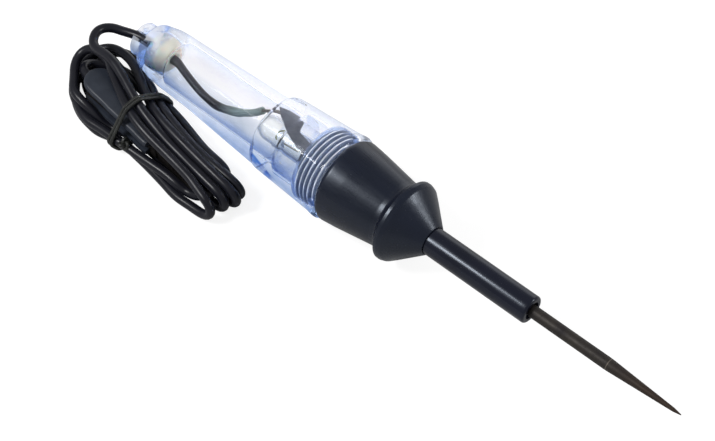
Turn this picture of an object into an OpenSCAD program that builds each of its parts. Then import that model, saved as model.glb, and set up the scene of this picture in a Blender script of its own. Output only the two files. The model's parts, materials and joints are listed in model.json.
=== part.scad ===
// Voltage tester: a probe, a black screw-on nose, a clear handle with a lamp inside, and an earth lead
// wound into a hank with its crocodile clip. It lies along X with the probe's tip towards +X.

/* [Probe] */
// Diameter of the probe's shank
probe_d = 2.9; // [2.4:0.1:3.2]
// Diameter of the probe inside its sleeve and the nose
probe_core_d = 2.5; // [2:0.1:2.6]
// Length of the probe that stands out of its sleeve
probe_out = 39; // [32:1:44]
// Length of the ground taper at the probe's tip
probe_taper = 18.5; // [12:0.5:22]
// Diameter where the taper ends and the point begins
point_d = 0.9; // [0.6:0.1:1.2]
// Length of the point
point_len = 2; // [1:0.5:3]
// Outer diameter of the insulating sleeve on the probe
sleeve_d = 6.7; // [6.2:0.1:7.4]
// Length of the sleeve that stands out of the nose
sleeve_out = 28.1; // [22:0.1:34]
// Depth of the sleeve in the nose
sleeve_seat = 6; // [4:0.5:8]
// Outer diameter of the nut that holds the probe
nut_d = 6.4; // [5.6:0.2:7.4]
// Thickness of the nut that holds the probe
nut_h = 1.6; // [1.2:0.1:2]

/* [Nose] */
// Diameter of the guard flange
flange_d = 20.2; // [19:0.1:21]
// Distance from the nose's front to the middle of the guard flange
flange_at = 7.8; // [7:0.1:9]
// Width of the flange's flat rim
flange_rim = 1.2; // [0.8:0.1:2]
// Diameter of the nose at its front end
nose_front_d = 7.3; // [7:0.1:8]
// Diameter of the neck behind the flange
neck_d = 16.8; // [15:0.1:18]
// Diameter of the nose's back edge
nose_back_d = 20.9; // [20:0.1:21.2]
// Length of the nose without its threaded spigot
nose_len = 26.3; // [25:0.1:30]
// Length of the threaded spigot
spigot_len = 7.4; // [6:0.1:7.6]
// Wall of the threaded spigot
spigot_wall = 1.9; // [1.5:0.1:2.2]
// Diameter of the thread's bore in the handle
thread_d = 18.1; // [17.6:0.1:18.4]
// Depth of the lamp chamber in the nose, from its back edge
chamber_depth = 3.5; // [2:0.5:4.5]
// Depth of the spring pocket beyond the lamp chamber
pocket_depth = 5.6; // [4.6:0.1:6.6]
// Diameter of the spring pocket
pocket_d = 8.8; // [8:0.2:9.6]

/* [Handle] */
// Length of the handle's collar
collar_len = 20.4; // [19:0.1:24]
// Diameter of the bead at the collar's front
collar_front_d = 21.7; // [21.5:0.1:22.4]
// Diameter of the collar at its rear shoulder
collar_back_d = 19.2; // [18.8:0.1:19.8]
// Length of the grip behind the collar
grip_len = 33.6; // [30:0.2:40]
// Diameter of the grip's rear end
grip_back_d = 14.5; // [14.2:0.1:15.4]
// Length of the rounded end behind the grip
dome_len = 8.6; // [8:0.2:10]
// Diameter of the slotted cable boss at the rear
boss_d = 8.8; // [8:0.1:9.6]
// Length of the slotted cable boss
boss_len = 2.9; // [2.4:0.1:4]
// Width of a slot in the cable boss
boss_slot = 1.4; // [1:0.1:1.8]
// Number of flats around the grip
flats = 5; // [3:1:6]
// Distance from the axis to a flat at its front end
flat_front = 7.85; // [7.7:0.05:8.4]
// Distance from the axis to a flat at the grip's rear
flat_back = 7.1; // [6.9:0.05:7.2]
// Diameter of the bore that takes the lamp holder
holder_bore = 15.2; // [14.6:0.1:15.6]
// Diameter of the bore behind the lamp holder
lamp_bore = 12.6; // [12.4:0.1:13.2]
// Diameter of the hollow in the grip
hollow_d = 11.2; // [10.6:0.1:11.6]

/* [Lamp] */
// Diameter of the lamp's glass
glass_d = 6.2; // [5.6:0.1:6.4]
// Length of the glass that stands out of the lamp's base
glass_len = 15.3; // [13:0.1:16]
// Thickness of the lamp's glass
glass_wall = 0.4; // [0.3:0.05:0.6]
// Wall of the lamp's base
base_wall = 0.3; // [0.2:0.05:0.35]
// Length of the lamp's base
base_len = 10.5; // [9.5:0.1:10.8]
// Diameter of the lamp holder's tube
holder_d = 11; // [10.4:0.1:11.2]
// Thickness of the lamp holder's flange
holder_flange = 1.1; // [0.8:0.1:1.6]
// Half width of the contact leaf
leaf_wide = 4; // [3:0.1:4.4]
// Thickness of sheet metal contacts
sheet = 0.35; // [0.25:0.05:0.4]
// Wire diameter of the contact spring
spring_wire = 0.7; // [0.5:0.1:0.8]
// Turns of the contact spring
spring_turns = 4; // [3:1:6]

/* [Lead] */
// Diameter of the lead
lead_d = 2.3; // [2:0.1:2.4]
// Height of the hank
hank_h = 11.4; // [11:0.1:12]
// Diameter of the bare strands at the lead's end
strand_d = 0.9; // [0.7:0.1:1]
// Thickness of the elastic tie
tie_thick = 1; // [0.8:0.1:1.2]
// Width of the elastic tie
tie_wide = 1.6; // [1.2:0.1:2.2]

/* [Clip] */
// Length of the clip's handles, from the pivot
clip_handle = 26; // [24:0.5:27]
// Length of the clip's jaws, from the pivot
clip_jaw_len = 14; // [12:0.5:15]
// Width of the lower, outer jaw
clip_width = 5; // [4.6:0.1:5.4]
// Thickness of the clip's sheet metal
clip_sheet = 0.45; // [0.35:0.05:0.5]
// Diameter of the clip's pivot pin
clip_pin_d = 1.3; // [1:0.1:1.5]
// Width of the grips on the clip's handles
grip_width = 7.6; // [7:0.1:8]
// Height of the rounded back of a grip
grip_bow = 0.9; // [0.5:0.1:1.2]
// Teeth along each jaw
teeth = 7; // [5:1:9]

/* [Hidden] */

$fn = 96;
// Clearance between a shaft and its bore
fit = 0.05;
// Gap between faces that meet at a joint
seat = 0.1;
// Gap round pieces that lie loosely beside each other
loose = 0.3;
// Smallest size that cuts cleanly past a face
past = 1;

// Places along the axis, as distances back from the probe's tip
sleeve_front = probe_out;
nose_front = sleeve_front + sleeve_out;
nose_back = nose_front + nose_len;
spigot_end = nose_back + spigot_len;
chamber_floor = nose_back - chamber_depth;
pocket_floor = chamber_floor - pocket_depth;
handle_front = nose_back + seat;
thread_end = spigot_end + 4 * seat;
collar_back = handle_front + collar_len;
grip_back = collar_back + grip_len;
dome_back = grip_back + dome_len;
handle_back = dome_back + boss_len;
holder_step = collar_back - 5.2;
lamp_step = collar_back + 2.1;
plug_len = 5.2;
plug_front = grip_back + 0.8;
plug_step = grip_back - 0.6;
plug_back = plug_front + plug_len;

// The whole tester is centred on X, with its thickest part on the surface
tip_x = handle_back / 2;
axis_z = collar_front_d / 2;

// Radii along the axis
probe_r = probe_d / 2;
core_r = probe_core_d / 2;
sleeve_r = sleeve_d / 2;
spigot_r = thread_d / 2 - seat;
chamber_r = spigot_r - spigot_wall;
lead_r = lead_d / 2;
plug_r = 4.55;

// The lamp, from its contact at the front to its glass at the rear
base_d = glass_d + 2 * base_wall;
contact_r = probe_r + spring_wire + 2 * seat;
contact_h = 1.2;
insulator_h = 1;
nut_front = pocket_floor + 2 * seat;
nut_back = nut_front + nut_h;
probe_back = nut_back + 0.8;
ledge = spigot_end + 3.1;
base_back = ledge - 2 * seat;
base_front = base_back - base_len;
contact_front = base_front - contact_h;
glass_end = base_back + glass_len;
filament_at = base_back + 8.1;
flange_front = spigot_end + loose;
holder_front = flange_front + sheet + fit;
holder_back = holder_step + 2.3;
leaf_r = holder_d / 2 + 0.15;
leaf_len = lamp_step - 0.4 - flange_front;

// Where the lead leaves the cable boss, and how it turns to reach the hank
lead_exit = [tip_x - handle_back, 0, axis_z];
lead_route = [[0, 0, 0], [-1.2, 0, 0], [-2.8, -0.6, 0], [-5, -1.5, 0.1], [-7, -2.5, 0.3], [-8.5, -3.8, 0.4],
    [-9.2, -5.5, 0.5], [-8.8, -7.4, 0.5], [-7.6, -9, 0.2], [-6.2, -10.4, -0.4]];
// The lead inside the handle, from plug to lamp: share of the way, then offsets in radii of the hollow
inner_turns = [[0, 0, 0], [0.05, 0, -0.02], [0.15, -0.1, -0.13], [0.29, -0.21, -0.35], [0.43, -0.29, -0.49],
    [0.57, -0.28, -0.52], [0.71, -0.16, -0.46], [0.83, -0.02, -0.25], [0.92, 0.1, 0.05], [1, 0.2, 0.43]];
inner_end = glass_end + 0.7;
inner_span = [inner_end - plug_front, hollow_d / 2, hollow_d / 2];
inner_route = concat([for (x = [handle_back, handle_back - 4, handle_back - 8]) [x, 0, 0]],
    [for (p = inner_turns) [plug_front + inner_span[0] * p[0], inner_span[1] * p[1], inner_span[2] * p[2]]]);
// The bare strands reach under the contact leaf
strand_reach = leaf_r - strand_d / 2 - 0.15;
strand_route = [[inner_end - fit, 0.1 * hollow_d, 0.215 * hollow_d],
    [glass_end - 1.1, 0.28 * strand_reach, 0.67 * strand_reach],
    [glass_end - 3.1, 0.37 * strand_reach, 0.85 * strand_reach],
    [glass_end - 5.7, 0.43 * strand_reach, 0.9 * strand_reach],
    [holder_back + 0.3, 0.43 * strand_reach, 0.9 * strand_reach]];
// The lead's last stretch, from the hank to the clip, in the clip's own frame
tail_route = [[-28.4, 0, 0.3], [-26, 0, 0.25], [-23, 0, 0.1], [-20, 0, -0.05], [-17, 0, -0.2],
    [-14, 0, -0.35], [-12, 0, -0.4]];

// The hank's own frame: its left end, its turn about the vertical, and its two end circles
hank_pos = [-91.5, -9.5];
hank_turn = -9;
hank_big = [10.2, -0.5, 11];
hank_small = [54, -0.3, 5.7];
tie_at = 27.5;
tie_low = -8.2;
tie_high = 4.8;

// The clip's frame: its pivot, its turn about the vertical, and its tilt onto the lower handle
clip_turn = -5;
clip_tilt = 3.1;
clip_pos = [-55, -17.7, 5.3];
clip_rear = 3.2;
clip_mid = 2;
upper_width = clip_width - 2 * clip_sheet - 0.2;
// Thickness of the hank under the clip
clip_floor = 2;

// Points on an arc of centre c and radius r, from angle a to angle b
function arc(c, r, a, b, n = 10) = [for (i = [0:n]) let (t = a + (b - a) * i / n) c + r * [cos(t), sin(t)]];
function unit(v) = v / norm(v);
// Direction of a path at point i
function heading(p, i) = unit(p[min(i + 1, len(p) - 1)] - p[max(i - 1, 0)]);
// One ring of points round point i, squared to the path, with one side kept near the given direction
function ring(p, i, r, sides, side) =
    let (t = heading(p, i), u = unit(cross(side, t)), v = cross(t, u))
    [for (k = [0:sides - 1]) p[i] + r * (cos(360 * k / sides) * u + sin(360 * k / sides) * v)];

// A tube of radius r swept along the points p
module tube(p, r, sides, side) {
    last = len(p) - 1;
    points = [for (i = [0:last]) each ring(p, i, r, sides, side)];
    walls = [for (i = [0:last - 1], k = [0:sides - 1])
        let (a = i * sides + k, b = i * sides + (k + 1) % sides) [a, a + sides, b + sides, b]];
    front = [for (k = [0:sides - 1]) k];
    back = [for (k = [sides - 1:-1:0]) last * sides + k];
    polyhedron(points, concat(walls, [front, back]), convexity = 6);
}

// Turns the Z axis of a revolved piece back along the tester, with Z as the distance from the tip
module on_axis() translate([tip_x, 0, axis_z]) rotate([0, -90, 0]) children();
module revolve(profile) on_axis() rotate_extrude() polygon(profile);
// A ring between two radii and two distances from the tip
module washer(inner, outer, front, back)
    revolve([[inner, front], [outer, front], [outer, back], [inner, back]]);
// Changes a list of distances and offsets into points of the tester's frame
function along(list) = [for (p = list) [tip_x - p[0], p[1], axis_z + p[2]]];

// Outline of the handle's outside, from the front of its collar to the end of its cable boss, moved out by m
function handle_outline(m) =
    let (rf = collar_front_d / 2 + m, rc = collar_back_d / 2 + m, rb = grip_back_d / 2 + m,
        barrel = (pow(dome_len - 2, 2) + pow(1.3, 2)) / 2.6)
    concat([[rf - 0.4, handle_front], [rf, handle_front + 0.5], [rf, handle_front + 1.5]],
        [[rf - 0.25, handle_front + 2.3], [rc, collar_back], [rc - 0.3, collar_back + 0.4]],
        [[rc - 1.1, collar_back + 0.33 * grip_len], [rb + 0.3, collar_back + 0.7 * grip_len]],
        arc([rb - barrel, grip_back], barrel, 0, asin((dome_len - 2) / barrel), 6),
        arc([rb - 1.3 - 1.6, dome_back - 1.9], 1.6, 12, 90, 6),
        [[boss_d / 2 + m, dome_back - 0.3], [boss_d / 2 + m, handle_back - 0.3]],
        [[boss_d / 2 - 0.3 + m, handle_back]]);

// One flat of the grip: a block whose inner face slopes with the grip
module flat_cutter(turn) {
    slope = atan((flat_front - flat_back) / grip_len);
    on_axis() rotate([0, 0, turn]) translate([flat_front, -12, collar_back + 0.3]) rotate([0, -slope, 0])
        cube([8, 24, grip_len + dome_len]);
}

module handle() {
    exit_r = lead_r + fit + 0.1;
    inside = [[exit_r, handle_back + past], [exit_r, plug_back], [plug_r + fit, plug_back],
        [plug_r + fit, plug_step], [hollow_d / 2, plug_step - 1], [hollow_d / 2, lamp_step],
        [lamp_bore / 2, lamp_step], [lamp_bore / 2, holder_step], [holder_bore / 2, holder_step],
        [holder_bore / 2, thread_end], [thread_d / 2, thread_end], [thread_d / 2, handle_front - past]];
    color([0.8, 0.88, 1, 0.35]) difference() {
        revolve(concat(handle_outline(0), [[0, handle_back], [0, handle_front]]));
        revolve(concat([[0, handle_front - past], [0, handle_back + past]], inside));
        for (i = [0:flats - 1]) flat_cutter(60 + i * 360 / flats);
        for (turn = [60, 150]) on_axis() rotate([0, 0, turn])
            translate([-boss_d, -boss_slot / 2, plug_back + 0.9]) cube([2 * boss_d, boss_slot, 8]);
    }
}

module nose_cap() {
    rim = flange_rim / 2;
    middle = nose_front + flange_at;
    r = flange_d / 2;
    outside = concat([[nose_front_d / 2, nose_front], [r - 1.5, middle - rim - 1.6]],
        arc([r - 1.3, middle - rim], 1.3, -50, 0, 6), arc([r - 0.6, middle + rim], 0.6, 0, 70, 4),
        arc([neck_d / 2 + 0.9, middle + rim + 1.6], 0.9, 250, 180, 4),
        [[nose_back_d / 2 - 0.15, nose_back - 0.5], [nose_back_d / 2 - 0.3, nose_back]],
        [[spigot_r, nose_back], [spigot_r, spigot_end - 0.6], [spigot_r - 0.6, spigot_end]]);
    sleeve_back = nose_front + sleeve_seat + seat;
    inside = [[chamber_r, spigot_end], [chamber_r, chamber_floor], [pocket_d / 2, chamber_floor],
        [pocket_d / 2, pocket_floor], [core_r + fit, pocket_floor], [core_r + fit, sleeve_back],
        [sleeve_r + fit, sleeve_back], [sleeve_r + fit, nose_front]];
    color([0.09, 0.1, 0.14]) revolve(concat(outside, inside));
}

module probe_sleeve() {
    color([0.07, 0.07, 0.1]) revolve(concat([[probe_r + 0.7, sleeve_front]],
        arc([sleeve_r - 0.6, sleeve_front + 0.6], 0.6, -90, 0, 5),
        [[sleeve_r, nose_front + sleeve_seat], [core_r + fit, nose_front + sleeve_seat]],
        [[core_r + fit, sleeve_front + 1.4], [probe_r + 0.7, sleeve_front + 1.2]]));
}

module probe() {
    color([0.28, 0.25, 0.22]) revolve([[0, 0.05], [0.08, 0], [point_d / 2, point_len],
        [probe_r, probe_taper], [probe_r, sleeve_front], [core_r, sleeve_front], [core_r, probe_back - 0.3],
        [core_r - 0.3, probe_back], [0, probe_back]]);
}

module probe_nut() {
    color([0.75, 0.6, 0.3]) difference() {
        on_axis() translate([0, 0, nut_front]) cylinder(d = nut_d, h = nut_h, $fn = 6);
        on_axis() translate([0, 0, nut_front - past]) cylinder(r = core_r + fit, h = nut_h + 2 * past);
    }
}

module contact_spring() {
    wire = spring_wire / 2;
    front = nut_back + wire + fit;
    back = contact_front - wire - fit;
    coil_r = probe_r + wire + 2 * seat;
    steps = 16 * spring_turns;
    path = [for (i = [0:steps]) let (f = i / steps, a = 360 * spring_turns * f)
        [front + (back - front) * f, coil_r * cos(a), coil_r * sin(a)]];
    color([0.75, 0.76, 0.78]) tube(along(path), wire, 6, [1, 0, 0]);
}

module lamp_base() {
    r = base_d / 2;
    inner = glass_d / 2 - fit;
    color([0.8, 0.68, 0.38]) revolve([[r - 0.3, base_front], [r, base_front + 0.3], [r, base_back - 0.5],
        [r + 0.25, base_back], [inner, base_back], [inner, base_front + insulator_h + seat],
        [contact_r + 0.5, base_front + insulator_h + seat], [contact_r + 0.5, base_front]]);
}

module lamp_insulator() {
    color([0.1, 0.1, 0.12]) revolve([[0, base_front], [contact_r + 0.45, base_front],
        [contact_r + 0.45, base_front + insulator_h], [0, base_front + insulator_h]]);
}

module lamp_contact() {
    color([0.7, 0.7, 0.72]) revolve([[0, contact_front], [contact_r - 0.4, contact_front],
        [contact_r, contact_front + 0.4], [contact_r, base_front], [0, base_front]]);
}

module lamp_glass() {
    r = glass_d / 2;
    root = base_back - 3;
    inner = r - glass_wall;
    color([0.9, 0.95, 1, 0.3]) revolve(concat([[0, root], [r - 2 * fit, root]],
        [[r - 2 * fit, base_back + fit]], arc([0, glass_end - r], r, 0, 90, 12),
        arc([0, glass_end - r], inner, 90, 0, 12),
        [[inner, root + 2.4], [0.9, root + 2.6], [0.7, root + 5.2], [0, root + 5.4]]));
}

module lamp_supports() {
    reach = filament_at - base_back - 2.6;
    color([0.55, 0.55, 0.55]) for (side = [-1, 1]) on_axis() translate([0, side * 0.95, base_back + 2.6])
        rotate([-side * 6, 0, 0]) cylinder(d = 0.4, h = reach, $fn = 16);
}

module lamp_filament() {
    span = 2 * (0.95 + (filament_at - base_back - 2.6) * sin(6));
    bow = 0.8;
    arc_r = (pow(span / 2, 2) + pow(bow, 2)) / (2 * bow);
    half = asin(span / 2 / arc_r);
    color([0.45, 0.42, 0.35]) on_axis() translate([0, 0, filament_at + 0.35 + bow - arc_r])
        rotate([0, 90, 0]) rotate([0, 0, 180 - half]) rotate_extrude(angle = 2 * half)
        translate([arc_r, 0]) circle(d = 0.3, $fn = 14);
}

module socket_shell() {
    r = base_d / 2 + fit;
    color([0.72, 0.72, 0.7]) revolve([[r, base_front + 1.2], [r + sheet, base_front + 1.2],
        [r + sheet, flange_front], [leaf_r + sheet, flange_front], [leaf_r + sheet, flange_front + sheet],
        [r + sheet, flange_front + sheet], [r + sheet, base_back - 0.7], [r, base_back - 0.7]]);
}

module lamp_holder() {
    r = holder_d / 2;
    flange_r = holder_bore / 2 - seat;
    color([0.9, 0.94, 1, 0.5]) difference() {
        revolve([[base_d / 2 + sheet + 2 * fit, holder_front], [r, holder_front],
            [r, holder_step - holder_flange],
            [flange_r, holder_step - holder_flange], [flange_r, holder_step - fit], [r, holder_step - fit],
            [r, holder_back], [glass_d / 2 + seat, holder_back], [glass_d / 2 + seat, ledge + seat],
            [base_d / 2 + 0.35, ledge + seat], [base_d / 2 + sheet + 2 * fit, ledge - 0.4]]);
        intersection() {
            washer(leaf_r - fit, holder_bore, holder_step - holder_flange - past, holder_step + past);
            on_axis() translate([0, -1.1 * leaf_wide, holder_step - holder_flange - 2 * past])
                cube([holder_bore, 2.2 * leaf_wide, holder_flange + 4 * past]);
        }
    }
}

module contact_leaf() {
    outline = [[-0.3, 0.03], [-0.05, 0.386], [0.75, 0.5], [1, 0.66], [0.93, 0.84], [0.63, 1], [0.15, 0.84],
        [-0.45, 0.55], [-0.8, 0.26], [-0.8, 0.03]];
    color([0.42, 0.42, 0.4]) intersection() {
        washer(leaf_r, leaf_r + sheet, flange_front, lamp_step);
        on_axis() rotate([0, 90, 0]) translate([0, 0, leaf_r / 6]) linear_extrude(holder_bore)
            polygon([for (p = outline) [-flange_front - p[1] * leaf_len, p[0] * leaf_wide]]);
    }
}

module lead_strands() {
    color([0.5, 0.42, 0.32]) tube(along(strand_route), strand_d / 2, 8, [0, 1, 0]);
}

module inner_lead() {
    color([0.06, 0.06, 0.08]) tube(along(inner_route), lead_r, 8, [0, 1, 0]);
}

module cord_plug() {
    color([0.93, 0.91, 0.78]) revolve([[lead_r + fit, plug_front], [2.6, plug_front],
        [plug_r, plug_front + 1.6], [plug_r, plug_back - seat], [lead_r + fit, plug_back - seat]]);
}

module lead_run() {
    color([0.06, 0.06, 0.08]) tube([for (p = lead_route) lead_exit + p], lead_r, 8, [0, 0, 1]);
}

// The hank's outline: two round ends and the straight sides that touch both
module hank_outline() {
    a = [hank_big[0], hank_big[1]];
    b = [hank_small[0], hank_small[1]];
    lean = acos((hank_big[2] - hank_small[2]) / norm(b - a));
    base = atan2(b[1] - a[1], b[0] - a[0]);
    polygon(concat(arc(a, hank_big[2], base + lean, base + 360 - lean, 28),
        arc(b, hank_small[2], base - lean, base + lean, 16)));
}

module in_hank() translate([hank_pos[0], hank_pos[1], 0]) rotate([0, 0, hank_turn]) children();
module in_clip() translate(clip_pos) rotate([0, 0, clip_turn]) rotate([0, clip_tilt, 0]) children();

module lead_hank() {
    slot_w = grip_width + 2 * loose;
    jaw_slot_w = clip_width + 1.8;
    color([0.06, 0.06, 0.08]) difference() {
        in_hank() linear_extrude(hank_h) hank_outline();
        in_hank() translate([tie_at - tie_wide / 2 - loose, 0, 0]) rotate([90, 0, 90])
            linear_extrude(tie_wide + 2 * loose) difference() {
                translate([-20, -past]) square([40, hank_h + 2 * past]);
                polygon(tie_loop(-0.1));
            }
        translate([clip_pos[0], clip_pos[1], clip_floor]) rotate([0, 0, clip_turn]) {
            translate([-clip_handle - 2.6, -slot_w / 2, 0]) cube([clip_handle + 1.6, slot_w, hank_h]);
            translate([-2, -jaw_slot_w / 2, 0]) cube([clip_jaw_len + 3, jaw_slot_w, hank_h]);
        }
        revolve(concat(handle_outline(loose + 0.1), [[0, handle_back + 0.4], [0, handle_front]]));
    }
}

// The section of the elastic tie's inside, across the hank, grown by m
function tie_loop(m) =
    let (r = 2.4, low = tie_low + r, high = tie_high - r)
    let (base = tie_thick + 0.1 + r, top = hank_h - tie_thick - r)
    concat(arc([high, base], r + m, -90, 0, 6), arc([high, top], r + m, 0, 90, 6),
        arc([low, top], r + m, 90, 180, 6), arc([low, base], r + m, 180, 270, 6));

module hank_tie() {
    color([0.05, 0.05, 0.06]) in_hank() translate([tie_at - tie_wide / 2, 0, 0]) rotate([90, 0, 90])
        linear_extrude(tie_wide) difference() {
            polygon(tie_loop(tie_thick));
            polygon(tie_loop(0));
        }
}

module lead_tail() {
    color([0.06, 0.06, 0.08]) in_clip() tube(tail_route, lead_r, 8, [0, 1, 0]);
}

module clip_ferrule() {
    p = tail_route[len(tail_route) - 1];
    color([0.78, 0.66, 0.36]) in_clip() translate(p + [fit, 0, 0]) rotate([0, 90, 0]) difference() {
        cylinder(r = lead_r + 0.25, h = 3.4, $fn = 32);
        translate([0, 0, 2.6]) cylinder(r = 0.5, h = 2, $fn = 32);
    }
}

// Side outline of one lever: a handle that rises to the rear, an ear round the pin and a toothed jaw
function lever_top(t) = [[-clip_handle, clip_rear - t], [-4, clip_mid - t], [4, clip_mid - 0.3 - t],
    [clip_jaw_len, 1.5 - t]];
module lever_side(ear) {
    pitch = (clip_jaw_len - 5) / teeth;
    tips = [for (i = [0:teeth - 1]) clip_jaw_len - i * pitch];
    jag = [for (x = tips) each [[x, 0.05], [x - pitch / 2, 0.6]]];
    polygon(concat(lever_top(0), jag, [[4.6, 0.05], [ear, -ear * 0.55], [0, -ear], [-ear, -ear * 0.55],
        [-4.4, 0.9], [-clip_handle, clip_rear - 1.3]]));
}
module lever(width, ear) {
    difference() {
        union() {
            for (side = [-1, 1]) translate([0, side * (width - clip_sheet) / 2 + clip_sheet / 2, 0])
                rotate([90, 0, 0]) linear_extrude(clip_sheet) lever_side(ear);
            translate([0, width / 2, 0]) rotate([90, 0, 0]) linear_extrude(width)
                polygon(concat(lever_top(0), [for (i = [3:-1:0]) lever_top(clip_sheet)[i]]));
        }
        translate([0, width, 0]) rotate([90, 0, 0])
            cylinder(d = clip_pin_d + 2 * fit, h = 2 * width, $fn = 48);
    }
}

module clip_upper_jaw() color([0.45, 0.42, 0.36]) in_clip() lever(upper_width, 1.5);
module clip_lower_jaw() color([0.45, 0.42, 0.36]) in_clip() mirror([0, 0, 1]) lever(clip_width, 1.5);

module clip_pin() {
    color([0.7, 0.7, 0.7]) in_clip() rotate([90, 0, 0]) union() {
        translate([0, 0, -clip_width / 2 - 0.1]) cylinder(d = clip_pin_d, h = clip_width + 0.2, $fn = 48);
        for (z = [-clip_width / 2 - 0.5, clip_width / 2 + 0.1]) translate([0, 0, z])
            cylinder(d = clip_pin_d + 0.8, h = 0.4, $fn = 48);
    }
}

module clip_spring() {
    wire = 0.25;
    coil = clip_pin_d / 2 + wire + 0.1;
    turns = 3;
    steps = 16 * turns;
    wide = upper_width - 2 * clip_sheet - 1;
    coils = [for (i = [0:steps]) let (f = i / steps, a = 60 + 360 * turns * f + 60 * f)
        [-coil * sin(a), -wide / 2 + wide * f, coil * cos(a)]];
    path = concat([[-7, -wide / 2, 1.3]], coils, [[-7, wide / 2, -1.3]]);
    color([0.6, 0.6, 0.6]) in_clip() tube(path, wire, 6, [0, 1, 0]);
}

// The vinyl grip on a handle: a round-backed cover with a rounded end, over the sheet metal
module grip(width) {
    lean = atan((clip_rear - clip_mid) / (clip_handle - 4));
    half = grip_width / 2;
    bow_r = (pow(half, 2) + pow(grip_bow, 2)) / (2 * grip_bow);
    open = asin(half / bow_r);
    back = arc([0, grip_bow - bow_r], bow_r, 90 - open, 90 + open, 12);
    section = concat([[half, -1.2]], back, [[-half, -1.2]]);
    reach = clip_handle - 2;
    translate([-clip_handle, 0, clip_rear]) rotate([0, lean, 0]) difference() {
        intersection() {
            translate([-1, 0, 0]) rotate([90, 0, 90]) linear_extrude(reach + 1) polygon(section);
            translate([0, 0, -2]) linear_extrude(4) union() {
                translate([half - 1, 0]) circle(r = half);
                translate([half - 1, -half]) square([reach, grip_width]);
            }
        }
        translate([0, -width / 2 - fit, -3]) cube([clip_handle, width + 2 * fit, 3 + fit]);
    }
}
module clip_upper_grip() color([0.15, 0.18, 0.22]) in_clip() grip(upper_width);
module clip_lower_grip() color([0.15, 0.18, 0.22]) in_clip() mirror([0, 0, 1]) grip(clip_width);

handle();
nose_cap();
probe_sleeve();
probe();
probe_nut();
contact_spring();
lamp_base();
lamp_insulator();
lamp_contact();
lamp_glass();
lamp_supports();
lamp_filament();
socket_shell();
lamp_holder();
contact_leaf();
lead_strands();
inner_lead();
cord_plug();
lead_run();
lead_hank();
hank_tie();
lead_tail();
clip_ferrule();
clip_lower_jaw();
clip_upper_jaw();
clip_pin();
clip_spring();
clip_lower_grip();
clip_upper_grip();
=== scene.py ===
import json
import math

import bpy
import numpy as np
from bpy.props import FloatProperty, FloatVectorProperty, PointerProperty
from bpy.types import Operator, Panel, PropertyGroup
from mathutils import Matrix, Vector


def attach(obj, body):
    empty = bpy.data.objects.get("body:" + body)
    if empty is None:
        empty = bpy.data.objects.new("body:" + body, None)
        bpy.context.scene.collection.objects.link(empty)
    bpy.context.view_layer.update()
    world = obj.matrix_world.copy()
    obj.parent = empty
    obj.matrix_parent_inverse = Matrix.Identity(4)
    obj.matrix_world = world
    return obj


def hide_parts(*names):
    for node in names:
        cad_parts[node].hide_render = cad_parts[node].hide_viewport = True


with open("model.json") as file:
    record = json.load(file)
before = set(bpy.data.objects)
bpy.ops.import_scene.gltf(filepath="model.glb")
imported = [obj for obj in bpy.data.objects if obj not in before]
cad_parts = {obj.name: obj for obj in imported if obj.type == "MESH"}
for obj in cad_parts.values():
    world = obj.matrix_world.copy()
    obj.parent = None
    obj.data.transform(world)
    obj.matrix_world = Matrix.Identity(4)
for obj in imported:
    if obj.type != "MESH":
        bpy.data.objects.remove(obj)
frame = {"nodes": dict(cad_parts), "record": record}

bl_info = {
    "name": "Voltage Tester Looks",
    "version": (1, 0, 0),
    "blender": (4, 5, 0),
    "location": "View3D > Sidebar > Tester",
    "description": "Builds the detailed surfaces, the wound lead and the stage of a circuit tester",
    "category": "Object",
}

MM = 0.001

# Distances in mm back from the probe's tip, and the axis of the tester
TIP_X = 79.5
AXIS_Z = 10.85
SLEEVE_FRONT = 39.0
NOSE_FRONT = 67.1
SLEEVE_BACK = 73.2
POCKET_FLOOR = 84.3
CHAMBER_FLOOR = 89.9
NOSE_BACK = 93.4
HANDLE_FRONT = 93.5
SPIGOT_END = 100.8
THREAD_END = 101.2
BASE_BACK = 103.7
HOLDER_STEP = 108.7
HOLDER_BACK = 111.0
COLLAR_BACK = 113.9
LAMP_STEP = 116.0
GLASS_END = 119.0
INNER_END = 119.7
GRIP_BACK = 147.5
PLUG_FRONT = 148.3
PLUG_BACK = 153.5
DOME_BACK = 156.1
HANDLE_BACK = 159.0

# Pitch of the handle's thread, and radii of the lead, the tie, the bare strands, the contact leaf and the
# handle's bores, in mm
PITCH = 1.25
LEAD_R = 1.15
TIE_R = 0.45
STRAND_R = 0.45
LEAF_R = 5.65
BOSS_BORE_R = 1.3
HOLLOW_R = 5.6

# The clip's pivot, turn and tilt. In its own frame its levers run level between shoulders at x = -4 and 4, and
# spread from there to the rear
CLIP_POS = np.array([-55.0, -17.7, 5.3])
CLIP_TURN = math.radians(-5)
CLIP_TILT = math.radians(3.1)
CLIP_SHOULDER = 4
CLIP_REAR = 26
LEVER_LOW = 2.0
LEVER_HIGH = 3.2
UPPER_HANDLE_WIDTH = 3.9
LOWER_HANDLE_WIDTH = 5.0
GRIP_HALF = 3.8

# The hank's left end and turn, the tie's distance from that end, and the knot's place
HANK_POS = np.array([-91.5, -9.5])
HANK_TURN = math.radians(-9)
TIE_AT = 27.5
KNOT_AT = np.array([-62.5, -23, 5])

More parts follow.
